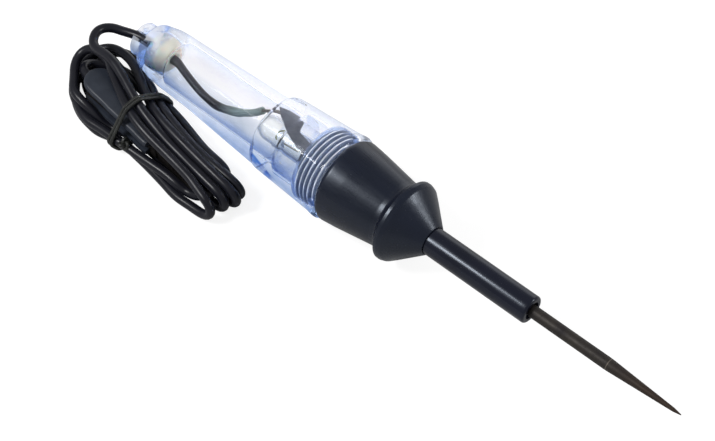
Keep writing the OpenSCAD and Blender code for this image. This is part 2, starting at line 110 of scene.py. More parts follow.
# The lead's route where it isn't wound, as in part.scad: steps from the cable boss, places in the clip's own
# frame, and the stretch inside the handle as shares of its length and offsets in radii of the hollow
LEAD_EXIT = np.array([TIP_X - HANDLE_BACK, 0, AXIS_Z])
EXIT_ROUTE = [(0, 0, 0), (-1.2, 0, 0), (-2.8, -0.6, 0), (-5, -1.5, 0.1), (-7, -2.5, 0.3), (-8.5, -3.8, 0.4),
              (-9.2, -5.5, 0.5), (-8.8, -7.4, 0.5), (-7.6, -9, 0.2), (-6.2, -10.4, -0.4)]
TAIL_ROUTE = [(-28.4, 0, 0.3), (-26, 0, 0.25), (-23, 0, 0.1), (-20, 0, -0.05), (-17, 0, -0.2),
              (-14, 0, -0.35), (-12, 0, -0.4)]
INNER_TURNS = [(0, 0, 0), (0.05, 0, -0.02), (0.15, -0.1, -0.13), (0.29, -0.21, -0.35),
               (0.43, -0.29, -0.49), (0.57, -0.28, -0.52), (0.71, -0.16, -0.46), (0.83, -0.02, -0.25),
               (0.92, 0.1, 0.05), (1, 0.2, 0.43)]

# The hank's six turns in mm. Each run passes three places along X: left bends, tie, and before the folds
STATIONS = (-79, -62, -46)
FLAT = 1.2
# One row for a turn: (y, z) of its upper run at these places, its fold's x with (y, z) above and below,
# (y, z) of its lower run at these places, and the tip of the left bend that follows
TURNS = (
    (((-11.5, 11.5), (-16.5, 10), (-18, 6.5)), (-35, (-19.5, 6), (-20, FLAT)),
     ((-20.5, 5), (-18, FLAT), (-19.5, FLAT)), (-89.5, -11, 7)),
    (((-12, 10.5), (-19, 10), (-20, 6.5)), (-35.5, (-22, 5.5), (-22.5, FLAT)),
     ((-21, 2.5), (-20.5, FLAT), (-21.5, FLAT)), (-90, -9.5, 4)),
    (((-5, 7.5), (-14, 9.5), (-17, 8)), (-34, (-17.5, 6.5), (-17, FLAT)),
     ((-16.5, FLAT), (-16, FLAT), (-17, FLAT)), (-89.5, -7.5, 2)),
    (((-1.5, 5.5), (-11, 9), (-15, 8)), (-35, (-15, 6.5), (-14.5, FLAT)),
     ((-14, FLAT), (-13.5, FLAT), (-14, FLAT)), (-87.5, -8, 3)),
    (((-8, 6.5), (-8.5, 6), (-12.5, 6)), (-41.5, (-13, 6), (-12.5, FLAT)),
     ((-11, FLAT), (-11, FLAT), (-12, FLAT)), (-87, -14.5, 3)),
    (((-19.5, 3.5), (-21, 3.5), (-20.5, 3.5)), (-41, (-20, 3.5), (-15, 3.5)),
     ((-5.5, 3.5), (-10.5, 3.5), (-14, 3.5)), (-88, -9.5, 5)),
)

# Stations along the handle, and the radius there that the lead keeps clear of
CLEAR_OF_HANDLE = ((93.6, 10.9), (95.1, 10.9), (114, 9.6), (114.5, 9.0), (130, 8.3), (147.5, 7.3),
                   (154, 6.2), (156.1, 4.6), (156.2, 4.4), (159, 4.4), (159.1, 0))

# The camera's place, what it looks at (both in m) and its lens in mm
CAMERA_AT = (0.16109, -0.18976, 0.3260)
CAMERA_TARGET = (-0.0037, -0.00675, 0.0108)
CAMERA_LENS = 90.63


# Curves and grids

def round_corners(points, radii, steps):
    """A polyline (n x 2) with each inner corner replaced by an arc that touches both sides.

    The arc is a quadratic curve between the two touching points, with the corner as its middle control
    point; the touching points lie at the given radius times the tangent of half the turn from the corner,
    and never further than 0.45 of a side.
    """
    points = [np.array(p, float) for p in points]
    out = [points[0]]
    for k in range(1, len(points) - 1):
        a, b, c = points[k - 1], points[k], points[k + 1]
        u, v = a - b, c - b
        lu, lv = np.linalg.norm(u), np.linalg.norm(v)
        turn = math.pi - math.acos(max(-1, min(1, float(u @ v) / (lu * lv))))
        reach = min(radii[k] * math.tan(turn / 2), 0.45 * lu, 0.45 * lv)
        if reach < 1e-4:
            out.append(b)
            continue
        p, q = b + u / lu * reach, b + v / lv * reach
        t = np.linspace(0, 1, steps)[:, None]
        out.extend((1 - t) ** 2 * p + 2 * t * (1 - t) * b + t ** 2 * q)
    out.append(points[-1])
    return np.array(out)


def refine(profile, longest):
    """Adds points at even distances on the sides of a profile that are longer than the given length."""
    out = [profile[0]]
    for a, b in zip(profile[:-1], profile[1:]):
        n = max(1, int(math.ceil(np.linalg.norm(b - a) / longest)))
        out.extend(a + (b - a) * k / n for k in range(1, n + 1))
    return np.array(out)


def arc(centre, radius, start, end, steps):
    """Points on a circle in the (distance from the axis, station) plane, between two angles in degrees."""
    t = np.radians(np.linspace(start, end, steps))
    return [(centre[0] + radius * c, centre[1] + radius * s) for c, s in zip(np.cos(t), np.sin(t))]


def spline(points, step):
    """Centripetal Catmull-Rom curve through the points, in even pieces of about the given length.

    Each stretch blends straight lines through its four nearest points, whose parameters lie apart by the
    square roots of their distances.
    """
    points = np.asarray(points, float)
    p = np.vstack([2 * points[0] - points[1], points, 2 * points[-1] - points[-2]])
    d = np.sqrt(np.linalg.norm(np.diff(p, axis=0), axis=1)) + 1e-9
    t = np.concatenate([[0], np.cumsum(d)])
    fine = np.linspace(t[1], t[-2], 40 * (len(points) - 1))
    k = np.clip(np.searchsorted(t, fine, side="right") - 1, 1, len(p) - 3)

    def mix(a, b, ta, tb):
        """Rows of a and b, blended in proportion between the parameters ta and tb."""
        share = ((fine - ta) / (tb - ta))[:, None]
        return a * (1 - share) + b * share

    a1 = mix(p[k - 1], p[k], t[k - 1], t[k])
    a2 = mix(p[k], p[k + 1], t[k], t[k + 1])
    a3 = mix(p[k + 1], p[k + 2], t[k + 1], t[k + 2])
    curve = mix(mix(a1, a2, t[k - 1], t[k + 1]), mix(a2, a3, t[k], t[k + 2]), t[k], t[k + 1])
    return even(curve, step)


def even(curve, step=None, count=None):
    """The same curve with points at even distances along it."""
    s = np.concatenate([[0], np.cumsum(np.linalg.norm(np.diff(curve, axis=0), axis=1))])
    q = np.linspace(0, s[-1], count or int(round(s[-1] / step)) + 1)
    return np.stack([np.interp(q, s, curve[:, i]) for i in range(curve.shape[1])], axis=1)


def smooth(values, width):
    """Gaussian mean along the rows, with the end rows repeated."""
    m = int(3 * width) + 1
    k = np.exp(-0.5 * (np.arange(-m, m + 1) / width) ** 2)
    k /= k.sum()
    pad = np.pad(values, ((m, m), (0, 0)), mode="edge")
    return np.stack([np.convolve(pad[:, i], k, mode="valid") for i in range(values.shape[1])], axis=1)


def make_object(name, verts, faces, material, smooth_angle=35, closed_uv=None):
    """A mesh object from verts in mm (n x 3) and faces: an array of quads, or a short list of polygons."""
    mesh = bpy.data.meshes.new(name)
    if isinstance(faces, np.ndarray):
        mesh.vertices.add(len(verts))
        mesh.vertices.foreach_set("co", (np.asarray(verts, np.float32) * MM).ravel())
        n = len(faces)
        mesh.loops.add(4 * n)
        mesh.loops.foreach_set("vertex_index", faces.astype(np.int32).ravel())
        mesh.polygons.add(n)
        mesh.polygons.foreach_set("loop_start", np.arange(0, 4 * n, 4, dtype=np.int32))
        mesh.update(calc_edges=True)
    else:
        mesh.from_pydata((np.asarray(verts, float) * MM).tolist(), [], faces)
    mesh.validate()
    mesh.shade_smooth()
    mesh.set_sharp_from_angle(angle=math.radians(smooth_angle))
    if closed_uv is not None:
        uv = mesh.uv_layers.new(name="along")
        idx = np.empty(len(mesh.loops), np.int32)
        mesh.loops.foreach_get("vertex_index", idx)
        uv.data.foreach_set("uv", closed_uv[idx].astype(np.float32).ravel())
    obj = bpy.data.objects.new(name, mesh)
    bpy.context.scene.collection.objects.link(obj)
    if material:
        mesh.materials.append(material)
    return obj


def grid_faces(rows, columns, wrap_rows=False):
    """Quads between neighbouring rows of a grid whose columns close into rings."""
    r = np.arange(rows if wrap_rows else rows - 1)[:, None]
    c = np.arange(columns)[None, :]
    r2 = (r + 1) % rows
    c2 = (c + 1) % columns
    quads = np.stack([r * columns + c, r2 * columns + c, r2 * columns + c2, r * columns + c2], axis=-1)
    return quads.reshape(-1, 4)


def capped_faces(rows, columns):
    """The faces of a grid of rings, and quads that close its first and last ring.

    Each of these spans two sides of its ring and a point. The points of the first and of the last ring stand
    after the grid.
    """
    k = np.arange(0, columns, 2)
    base = (rows - 1) * columns
    first, last = rows * columns, rows * columns + 1
    front = np.stack([k, (k + 1) % columns, (k + 2) % columns, 0 * k + first], axis=-1)
    back = np.stack([base + (k + 2) % columns, base + (k + 1) % columns, base + k, 0 * k + last], axis=-1)
    return np.vstack([grid_faces(rows, columns), front, back])


def turned(profile, count, radius_shift=None):
    """A profile (radius, station) turned round the tester's axis: each of its points gives a ring.

    At the angle a, a point lies r sin(a) across and r cos(a) up from the axis.
    """
    a = np.linspace(0, 2 * math.pi, count, endpoint=False)[None, :]
    r, s = profile[:, 0:1] + 0 * a, profile[:, 1:2] + 0 * a
    if radius_shift is not None:
        r = np.maximum(r + radius_shift(s, a), 0.0)
    return np.stack([TIP_X - s, r * np.sin(a), AXIS_Z + r * np.cos(a)], axis=-1)


def turned_object(name, profile, material, count=128, ring=False, radius_shift=None, smooth_angle=35):
    """A turned piece. Its profile closes on itself as a ring, or its two ends are closed on the axis."""
    profile = np.asarray(profile, float)
    verts = turned(profile, count, radius_shift).reshape(-1, 3)
    if ring:
        faces = grid_faces(len(profile), count, True)
    else:
        ends = np.array([[TIP_X - profile[0, 1], 0, AXIS_Z], [TIP_X - profile[-1, 1], 0, AXIS_Z]])
        faces = capped_faces(len(profile), count)
        verts = np.vstack([verts, ends])
    return make_object(name, verts, faces[:, ::-1], material, smooth_angle)


def directions(path):
    """The unit direction of a path at each of its points."""
    t = np.gradient(path, axis=0)
    return t / np.linalg.norm(t, axis=1)[:, None]


def frames(path):
    """Two directions across each point of a path, turned as little as possible from point to point."""
    t = directions(path)
    u = np.empty_like(t)
    first = np.cross(t[0], (0.0, 0.0, 1.0))
    u[0] = first / np.linalg.norm(first)
    for k in range(1, len(t)):
        v = u[k - 1] - t[k] * (u[k - 1] @ t[k])
        u[k] = v / np.linalg.norm(v)
    return u, np.cross(t, u)


def closed_frames(path):
    """Directions across a closed loop: one from its centre outwards, one along its own normal."""
    t = np.roll(path, -1, axis=0) - np.roll(path, 1, axis=0)
    t /= np.linalg.norm(t, axis=1)[:, None]
    middle = path.mean(axis=0)
    out = path - middle
    out -= t * (out * t).sum(axis=1)[:, None]
    out /= np.linalg.norm(out, axis=1)[:, None]
    return out, np.cross(t, out)


def tube(name, path, radius, material, sides=16, closed=False):
    """A round tube along a path in mm: rings of sides points at the radius, which may differ per point.

    At the angle a, a ring's point lies radius (cos(a) u + sin(a) v) from the path, where u and v are its
    directions across. Its UV holds the distance along the path and a's share of a turn.
    """
    u, v = closed_frames(path) if closed else frames(path)
    a = np.linspace(0, 2 * math.pi, sides, endpoint=False)
    radius = np.broadcast_to(radius, (len(path),))[:, None, None]
    ring = radius * (np.cos(a)[None, :, None] * u[:, None, :] + np.sin(a)[None, :, None] * v[:, None, :])
    verts = (path[:, None, :] + ring).reshape(-1, 3)
    n = len(path)
    s = np.concatenate([[0], np.cumsum(np.linalg.norm(np.diff(path, axis=0), axis=1))])
    uv = np.stack([np.repeat(s, sides), np.tile(a / (2 * math.pi), n)], axis=1)
    if closed:
        faces = grid_faces(n, sides, True)
    else:
        t = directions(path)
        faces = capped_faces(n, sides)
        verts = np.vstack([verts, [path[0] - t[0] * 0.02, path[-1] + t[-1] * 0.02]])
        uv = np.vstack([uv, [[0, 0], [s[-1], 0]]])
    return make_object(name, verts, faces[:, ::-1], material, 60, uv)


# The wound lead

def clip_axes():
    """Columns are the clip's own directions in the row frame: a turn about Z after a tilt about Y."""
    c, s = math.cos(CLIP_TURN), math.sin(CLIP_TURN)
    ct, st = math.cos(CLIP_TILT), math.sin(CLIP_TILT)
    turn = np.array([[c, -s, 0], [s, c, 0], [0, 0, 1]])
    return turn @ np.array([[ct, 0, st], [0, 1, 0], [-st, 0, ct]])


def from_clip(points):
    """Points in the clip's own frame (mm) as points in the row frame."""
    return np.asarray(points, float) @ clip_axes().T + CLIP_POS


def out_of_clip(p):
    """Shifts that take points out of the clip: a box in its own frame that grows towards its handles.

    A point inside is moved along the direction in which it lies least deep.
    """
    axes = clip_axes()
    x, y, z = ((p - CLIP_POS) @ axes).T
    jaw_tip, grip_start, grip_end = 14, -6.5, -27.6
    rise = np.clip((-x - CLIP_SHOULDER) / (CLIP_REAR - CLIP_SHOULDER), 0, 1)
    grip_height = 3.0 + 1.2 * rise - 0.35 * (y / GRIP_HALF) ** 2
    metal_height = np.where(x < CLIP_SHOULDER, 2.2, 1.9)
    half_y = np.where(x < grip_start, GRIP_HALF, 2.6) + LEAD_R
    half_z = np.where(x < grip_start, grip_height, metal_height) + LEAD_R
    front, back = jaw_tip + LEAD_R, grip_end - LEAD_R
    inside = (x > back) & (x < front) & (np.abs(y) < half_y) & (np.abs(z) < half_z)
    deep = np.stack([np.minimum(x - back, front - x), half_y - np.abs(y), half_z - np.abs(z)], axis=1)
    signs = np.stack([np.where(x - back < front - x, -1, 1), np.sign(y), np.sign(z)], axis=1)
    least = deep.argmin(axis=1)[:, None] == np.arange(3)[None, :]
    return (inside[:, None] * least * signs * deep) @ axes.T


def out_of_handle(p):
    """Shifts that take points out of the clear handle, straight away from its axis."""
    gap, boss_end = 0.15, 158.9
    s = TIP_X - p[:, 0]
    stations, radii = zip(*CLEAR_OF_HANDLE)
    reach = np.interp(s, stations, radii) + LEAD_R + gap
    away = p[:, 1:] - np.array([0, AXIS_Z])
    d = np.linalg.norm(away, axis=1)
    hit = (s < boss_end) & (d < reach)
    out = np.zeros_like(p)
    out[:, 1:] = away / np.maximum(d, 1e-6)[:, None] * np.where(hit, reach - d, 0)[:, None]
    return out


def half_turn(start, end, tip, steps=4):
    """Points between start and end on half an ellipse that passes the tip.

    It is middle + cos t (start - end) / 2 + sin t (tip - middle), with middle halfway from start to end.
    """
    start, end, tip = np.array(start, float), np.array(end, float), np.array(tip, float)
    middle = (start + end) / 2
    t = np.linspace(0, math.pi, steps + 1)[1:-1, None]
    return middle + np.cos(t) * (start - end) / 2 + np.sin(t) * (tip - middle)


def lead_way():
    """Places that the lead passes, from the cable boss through the hank's turns to the clip's ferrule.

    A fold is a half circle that stands out along X by half the distance of its two sides.
    """
    tail = from_clip(TAIL_ROUTE)
    starts = [(STATIONS[0], *turn[0][0]) for turn in TURNS[1:]] + [tail[0]]
    way = [LEAD_EXIT + EXIT_ROUTE]
    for (over, (fold_x, above, below), under, tip), following in zip(TURNS, starts):
        upper = [(x, *place) for x, place in zip(STATIONS, over)]
        lower = [(x, *place) for x, place in zip(STATIONS, under)][::-1]
        a, b = np.array([fold_x, *above]), np.array([fold_x, *below])
        fold_tip = (a + b) / 2 + [np.linalg.norm(a - b) / 2, 0, 0]
        way += [upper, [a], half_turn(a, b, fold_tip), [b], lower, half_turn(lower[-1], following, tip)]
    return np.vstack(way + [tail])


def unbend(p, tightest, reach=2, step=1.5):
    """Shifts that open the bends of a path which are tighter than the given radius.

    Over points a, b and c an arc length L apart, the path's bend is a - 2b + c. On a circle of radius R it
    is 2 R (1 - cos(L / R)) long, and what is longer than that is taken off b.
    """
    bend = np.zeros_like(p)
    bend[reach:-reach] = p[:-2 * reach] - 2 * p[reach:-reach] + p[2 * reach:]
    size = np.linalg.norm(bend, axis=1)[:, None]
    most = 2 * tightest * (1 - math.cos(reach * step / tightest))
    return bend * np.clip(1 - most / np.maximum(size, 1e-6), 0, 1)


def wind_lead(way, step=1.5, rounds=400, apart=2.44, tightest=2.8):
    """The lead's centreline, in mm, as wound: the way's spline, relaxed until no two strands share space.

    Its first 6 mm and its last 18 mm, in the clip, keep their place.

    In each round, every pair of points closer than apart and not neighbours along the lead pushes itself
    apart; points in the clip or the handle are moved out, bends are opened, and nothing may sink under the
    surface, or into the tie where it passes under the hank. The shifts are averaged along the lead, so
    that it bends smoothly, and fade slowly back to the way.
    """
    held_start, held_end, fade = 6, 18, 6
    neighbours, longest_push = 6, 0.6
    lowest, tie_lift, tie_reach = 1.17, 0.95, 5
    home = smooth(spline(way, step), 0.9)
    for _ in range(150):
        home += 0.3 * smooth(unbend(home, tightest), 0.8)
    home[0], home[-1] = way[0], way[-1]
    n = len(home)
    at = np.arange(n) * step
    free = np.clip((at - held_start) / fade, 0, 1) * np.clip((at[-1] - held_end - at) / fade, 0, 1)
    free = free[:, None]
    near = np.abs(np.subtract.outer(np.arange(n), np.arange(n))) <= neighbours
    shift = np.zeros_like(home)
    for k in range(rounds):
        p = home + shift
        gap = p[:, None] - p[None]
        d = np.linalg.norm(gap, axis=2) + near * 100
        push = np.clip(apart - d, 0, None) / np.maximum(d, 0.3)
        move = 0.5 * (gap * push[:, :, None]).sum(axis=1)
        move *= np.minimum(1, longest_push / np.maximum(np.linalg.norm(move, axis=1), 1e-6))[:, None]
        move += 0.5 * (out_of_clip(p) + out_of_handle(p)) * free
        shift += smooth(move + 0.5 * unbend(p, tightest), 1.5 if k < rounds - 60 else 1.0)
        shift = (0.94 * shift + 0.06 * smooth(shift, 3.0)) * 0.997 * np.minimum(1, free + (free > 0))
        low = lowest + tie_lift * np.exp(-(tie_plane(home + shift)[:, 0] / tie_reach) ** 2)
        shift[:, 2] += np.maximum(low - (home + shift)[:, 2], 0)
    return home + shift


def tie_plane(p):
    """Each point's distance along the hank from the tie, and its place across it: (along, across, up)."""
    c, s = math.cos(HANK_TURN), math.sin(HANK_TURN)
    x, y = p[:, 0] - HANK_POS[0], p[:, 1] - HANK_POS[1]
    return np.stack([x * c + y * s - TIE_AT, -x * s + y * c, p[:, 2]], axis=1)


def from_tie_plane(q):
    """The way back from tie_plane to the row frame."""
    c, s = math.cos(HANK_TURN), math.sin(HANK_TURN)
    x, y = q[:, 0] + TIE_AT, q[:, 1]
    return np.stack([HANK_POS[0] + x * c - y * s, HANK_POS[1] + x * s + y * c, q[:, 2]], axis=1)


def hull(points):
    """Convex outline of points in a plane, anticlockwise: the sorted points that it only turns left at."""
    pts = points[np.lexsort((points[:, 1], points[:, 0]))]

    def half(seq):
        """The lower side of the outline, from the sequence's first point to its last but one."""
        out = []
        for p in seq:
            while len(out) > 1:
                a, b = out[-1] - out[-2], p - out[-2]
                if a[0] * b[1] - a[1] * b[0] > 0:
                    break
                out.pop()
            out.append(p)
        return out[:-1]

    return np.array(half(pts) + half(pts[::-1]))


# Materials

class Surface:
    """One node material, with short ways to add the nodes that these surfaces share."""

    def __init__(self, name):
        self.mat = bpy.data.materials.new(name)
        self.mat.use_nodes = True
        self.tree = self.mat.node_tree
        self.tree.nodes.clear()
        self.out = self.tree.nodes.new("ShaderNodeOutputMaterial")
        self.coord = self.tree.nodes.new("ShaderNodeTexCoord").outputs["Object"]

    def put(self, socket, value):
        """Links another node's output to a socket, or sets the socket's own value."""
        if isinstance(value, bpy.types.NodeSocket):
            self.tree.links.new(value, socket)
        elif isinstance(value, (tuple, list)) and len(value) == 3 and socket.type == "RGBA":
            socket.default_value = (*value, 1)
        else:
            socket.default_value = value

    def add(self, kind, props=None, **inputs):
        """A node with its settings and its inputs, which are named with an underscore for each space."""
        node = self.tree.nodes.new(kind)
        for key, value in (props or {}).items():
            setattr(node, key, value)
        for key, value in inputs.items():
            self.put(node.inputs[key.replace("_", " ")], value)
        return node

    def place(self, stretch, coord=None):
        """Coordinates times stretch: the object's own, unless others are given."""
        node = self.add("ShaderNodeMapping")
        self.put(node.inputs["Vector"], coord or self.coord)
        node.inputs["Scale"].default_value = stretch
        return node.outputs[0]

    def noise(self, scale, detail=3.0, rough=0.55, stretch=(1, 1, 1)):
        """Noise between about 0.3 and 0.7 whose patches are about 1 / scale of a metre wide."""
        node = self.add("ShaderNodeTexNoise", Scale=scale, Detail=detail, Roughness=rough)
        self.put(node.inputs["Vector"], self.place(stretch))
        return node.outputs["Fac"]

    def ramp(self, value, black, white):
        """A grey that runs from black at one value to white at another."""
        node = self.add("ShaderNodeValToRGB", Fac=value)
        for end, at, grey in zip(node.color_ramp.elements, (black, white), (0.0, 1.0)):
            end.position = at
            end.color = (grey, grey, grey, 1)
        return node.outputs[0]

    def blend(self, share, a, b):
        """Colour a, replaced by its share of colour b."""
        node = self.add("ShaderNodeMix", {"data_type": "RGBA"})
        self.put(node.inputs[0], share)
        self.put(node.inputs[6], a)
        self.put(node.inputs[7], b)
        return node.outputs[2]

    def calc(self, operation, a, b=0.0):
        """One step of arithmetic, by Blender's name for it."""
        node = self.add("ShaderNodeMath", {"operation": operation})
        self.put(node.inputs[0], a)
        self.put(node.inputs[1], b)
        return node.outputs[0]

    def times(self, first, *others):
        """The product of two or more values."""
        for value in others:
            first = self.calc("MULTIPLY", first, value)
        return first

    def range(self, value, low, high, to_low=0.0, to_high=1.0):
        """A value between low and high, moved in proportion to between to_low and to_high, and clamped."""
        node = self.add("ShaderNodeMapRange", Value=value)
        for key, v in (("From Min", low), ("From Max", high), ("To Min", to_low), ("To Max", to_high)):
            self.put(node.inputs[key], v)
        return node.outputs[0]

    def split(self):
        """Object coordinates in mm: x, y and z."""
        node = self.add("ShaderNodeSeparateXYZ", Vector=self.place((1000, 1000, 1000)))
        return node.outputs[0], node.outputs[1], node.outputs[2]

    def bump(self, height, strength, distance, under=None):
        """A normal that leans as the height does, over the normal under it if there is one."""
        node = self.add("ShaderNodeBump", Height=height, Strength=strength, Distance=distance)
        if under is not None:
            self.put(node.inputs["Normal"], under)
        return node.outputs[0]

    def finish(self, **inputs):
        """The material, with these inputs for its one surface."""
        node = self.add("ShaderNodeBsdfPrincipled", **inputs)
        self.tree.links.new(node.outputs[0], self.out.inputs["Surface"])
        return self.mat


def scaled(colour, factor, more=0.0):
    """A colour with each part times the factor, plus a little more."""
    return tuple(factor * c + more for c in colour)


def black_plastic(name, colour, rough, grain, shine=0.38):
    """Moulded black plastic: a slow drift of colour, fine grain, faint rubs along the body and dust."""
    s = Surface(name)
    drift = s.noise(60, 3)
    rubs = s.noise(90, 5, 0.7, (1, 9, 9))
    fine = s.noise(2600, 2)
    dust = s.ramp(s.noise(3200, 1, 0.4), 0.72, 0.80)
    base = s.blend(s.range(drift, 0.35, 0.65), colour, scaled(colour, 1.6, 0.001))
    base = s.blend(s.times(dust, 0.10), base, (0.25, 0.25, 0.26))
    glance = s.calc("ADD", s.range(rubs, 0.35, 0.7, rough - 0.05, rough + 0.09), s.times(dust, 0.2))
    normal = s.bump(fine, grain, 0.00008)
    normal = s.bump(rubs, 0.12, 0.00008, normal)
    return s.finish(Base_Color=base, Roughness=glance, IOR=1.5, Specular_IOR_Level=shine,
                    Specular_Tint=(0.80, 0.88, 1.0), Normal=normal)


def worn_metal(name, bright, dark, rough, stretch=(1, 6, 6), metallic=0.9, patch=160.0, ground=None):
    """Metal with patina: two tones in patches, scratches along the piece and pits.

    With ground = a station, a painted highlight, a fine bright line, rings it there, and from there to the tip
    it is browner.
    """
    s = Surface(name)
    patches = s.noise(patch, 6, 0.68)
    lines = s.noise(patch * 5, 4, 0.7, stretch)
    pits = s.ramp(s.noise(patch * 14, 2), 0.62, 0.72)
    tone = s.range(s.calc("ADD", patches, s.times(lines, 0.45)), 0.55, 0.95)
    base = s.blend(tone, dark, bright)
    base = s.blend(s.times(pits, 0.6), base, scaled(dark, 0.35))
    if ground:
        past = s.calc("SUBTRACT", s.split()[0], TIP_X - ground)
        brown = (bright[0], 0.62 * bright[1], 0.45 * bright[2])
        base = s.blend(s.range(past, 0.0, 10.0, 0.0, 0.55), base, brown)
        # painted highlight: a fine bright ring where the ground taper starts
        painted_edge_highlight = s.range(s.calc("ABSOLUTE", past), 0.05, 0.14, 0.5, 0.0)
        base = s.blend(painted_edge_highlight, base, scaled(bright, 5))
    glance = s.range(tone, 0.0, 1.0, rough + 0.16, rough - 0.05)
    normal = s.bump(lines, 0.25, 0.00006)
    normal = s.bump(pits, -0.3, 0.00006, normal)
    return s.finish(Base_Color=base, Metallic=metallic, Roughness=glance, Normal=normal)


def clear_plastic(name, tint, edge, ior, rough=0.02, marks=0.08, low=None):
    """Clear moulded plastic: nearly smooth, with flow waves and scuffs that blur it a little.

    It takes its tint where it is seen square on, and painted shade and reflection: the edge colour where it is
    seen at a low angle and a deeper one at its very rim. With a low colour it is the handle, which gets its
    painted light over these.
    """
    s = Surface(name)
    waves = s.noise(70, 2, 0.5, (0.6, 1, 1))
    scuffs = s.ramp(s.noise(420, 6, 0.75, (1, 5, 5)), 0.56, 0.72)
    glance = s.calc("ADD", s.times(scuffs, marks), rough)
    facing = s.add("ShaderNodeLayerWeight", Blend=0.35).outputs["Facing"]
    # painted shade and reflection: the edge colour at low angles, and a deeper one at the very rim
    colour = s.blend(s.range(facing, 0.15, 0.70), tint, edge)
    colour = s.blend(s.range(facing, 0.66, 0.92, 0.0, 0.75), colour, tuple(c ** 3 for c in edge))
    clear = 1.0
    if low:
        colour, clear = painted_handle_light(s, colour, facing, low)
    normal = s.bump(waves, 0.03, 0.0003)
    return s.finish(Base_Color=colour, Roughness=glance, IOR=ior, Transmission_Weight=clear, Normal=normal,
                    Coat_Weight=0.35, Coat_Roughness=0.04)


def painted_handle_light(s, colour, facing, low):
    """The handle's painted light and shade, and how clear it stays: 1 less what the thread's painted glints
    and the painted veils hide.

    Its places are told by the station, by the distance and the angle round the axis, and by the side
    m = (-0.876 y - 0.482 (z - axis)) / distance, which is 1 low at the front and -1 high at the back, where
    fine pale specks of painted reflection lighten it.
    """
    x, y, z = s.split()
    up = s.calc("SUBTRACT", z, AXIS_Z)
    away = s.calc("SQRT", s.calc("ADD", s.times(y, y), s.times(up, up)))
    lean = s.calc("ADD", s.times(y, -0.876), s.times(up, -0.482))
    m = s.calc("DIVIDE", lean, s.calc("MAXIMUM", away, 0.5))
    station = s.calc("SUBTRACT", TIP_X, x)
    # painted light and shade: the low side, the rounded end, the front lip, the glint and the thread
    colour = painted_low_shade(s, colour, station, m, low)
    colour, end_reflection_veil = painted_end_reflections(s, colour, facing, station)
    colour, lip_reflection_veil = painted_lip_outline(s, colour, station, m)
    colour = painted_glint(s, colour, station, away, m)
    # painted reflection: fine pale violet specks over the upper side
    painted_specks = s.ramp(s.noise(1500, 4, 0.7), 0.50, 0.62)
    colour = s.blend(s.times(painted_specks, s.range(m, -0.25, -0.6, 0.0, 0.3)), colour, (0.74, 0.70, 0.84))
    colour, painted_thread_veil = painted_thread_glints(s, colour, station, away, s.calc("ARCTAN2", y, up))
    painted_veils = s.calc("ADD", end_reflection_veil, lip_reflection_veil)
    return colour, s.calc("SUBTRACT", s.calc("SUBTRACT", 1.0, painted_thread_veil), painted_veils)


def painted_low_shade(s, colour, station, m, low):
    """Painted shade: grey blobs below the handle's middle, and the low colour, a painted blue reflection,
    along its lower side.
    """
    painted_shade_blobs = s.range(s.noise(110, 3, 0.6, (0.7, 1, 1)), 0.35, 0.65, 0.45, 1.0)
    # painted shade below the middle, then a painted blue reflection along the lower side
    colour = s.blend(s.times(s.range(m, -0.10, 0.45, 0.0, 0.7), painted_shade_blobs), colour, (0.53, 0.60, 0.70))
    share = s.times(s.range(m, 0.55, 0.97), painted_shade_blobs, s.range(station, HANDLE_BACK, COLLAR_BACK, 0.70, 1.0))
    return s.blend(share, colour, low)


def painted_end_reflections(s, colour, facing, station):
    """The handle's rounded end, in painted reflection: a blue rim, and facets of pale blue with a veil between
    them.
    """
    # painted reflection: a blue rim where the end is seen at a low angle
    rim = s.times(s.range(facing, 0.42, 0.80, 0.0, 0.9), s.range(station, GRIP_BACK + 2.5, GRIP_BACK + 4.5))
    colour = s.blend(rim, colour, (0.24, 0.38, 0.78))
    end = s.range(station, GRIP_BACK + 2.6, GRIP_BACK + 3.6)
    # painted reflection: pale blue facets, with a veil between them that hides what lies behind
    painted_facets = s.ramp(s.noise(300, 2, 0.5, (0.7, 1, 1)), 0.46, 0.54)
    colour = s.blend(s.times(end, painted_facets, 0.75), colour, (0.40, 0.55, 0.86))
    return colour, s.times(end, s.calc("SUBTRACT", 1.0, painted_facets), 0.40)


def painted_lip_outline(s, colour, station, m):
    """The outline of the collar's front lip, in painted reflection: pale above, blue below, and veiled."""
    # painted reflection: the lip's outline, pale above and blue below
    outline = s.range(s.times(m, m), 0.76, 0.86)
    lip = s.times(s.range(station, HANDLE_FRONT + 2.6, HANDLE_FRONT + 2.0), outline)
    tone = s.blend(s.range(m, 0.0, 0.8), (0.72, 0.80, 0.95), (0.20, 0.38, 0.85))
    return s.blend(s.times(lip, 0.8), colour, tone), s.times(lip, 0.55)


def painted_glint(s, colour, station, away, m):
    """A painted dark blue glint low on the collar: a wedge that widens from the front to the collar's step.

    It lies where m is over 0.90 - 0.022 (station - 106) and under 0.94 to 0.91, on the collar's outer skin.
    """
    lower_limit, at_station, widening = 0.90, 106.0, 0.022
    grown = s.times(s.calc("SUBTRACT", station, at_station), widening)
    wedge = s.calc("ADD", s.calc("ADD", m, -lower_limit), grown)
    share = s.times(s.range(wedge, 0.0, 0.02), s.range(m, 0.94, 0.91),
                    s.range(station, COLLAR_BACK - 0.1, COLLAR_BACK - 0.5), s.range(away, 8.6, 9.0),
                    s.range(s.noise(900, 2, 0.5, (0.4, 1, 1)), 0.36, 0.50, 0.15, 1.0))
    # painted reflection: the dark blue glint
    return s.blend(share, colour, (0.01, 0.07, 0.42))


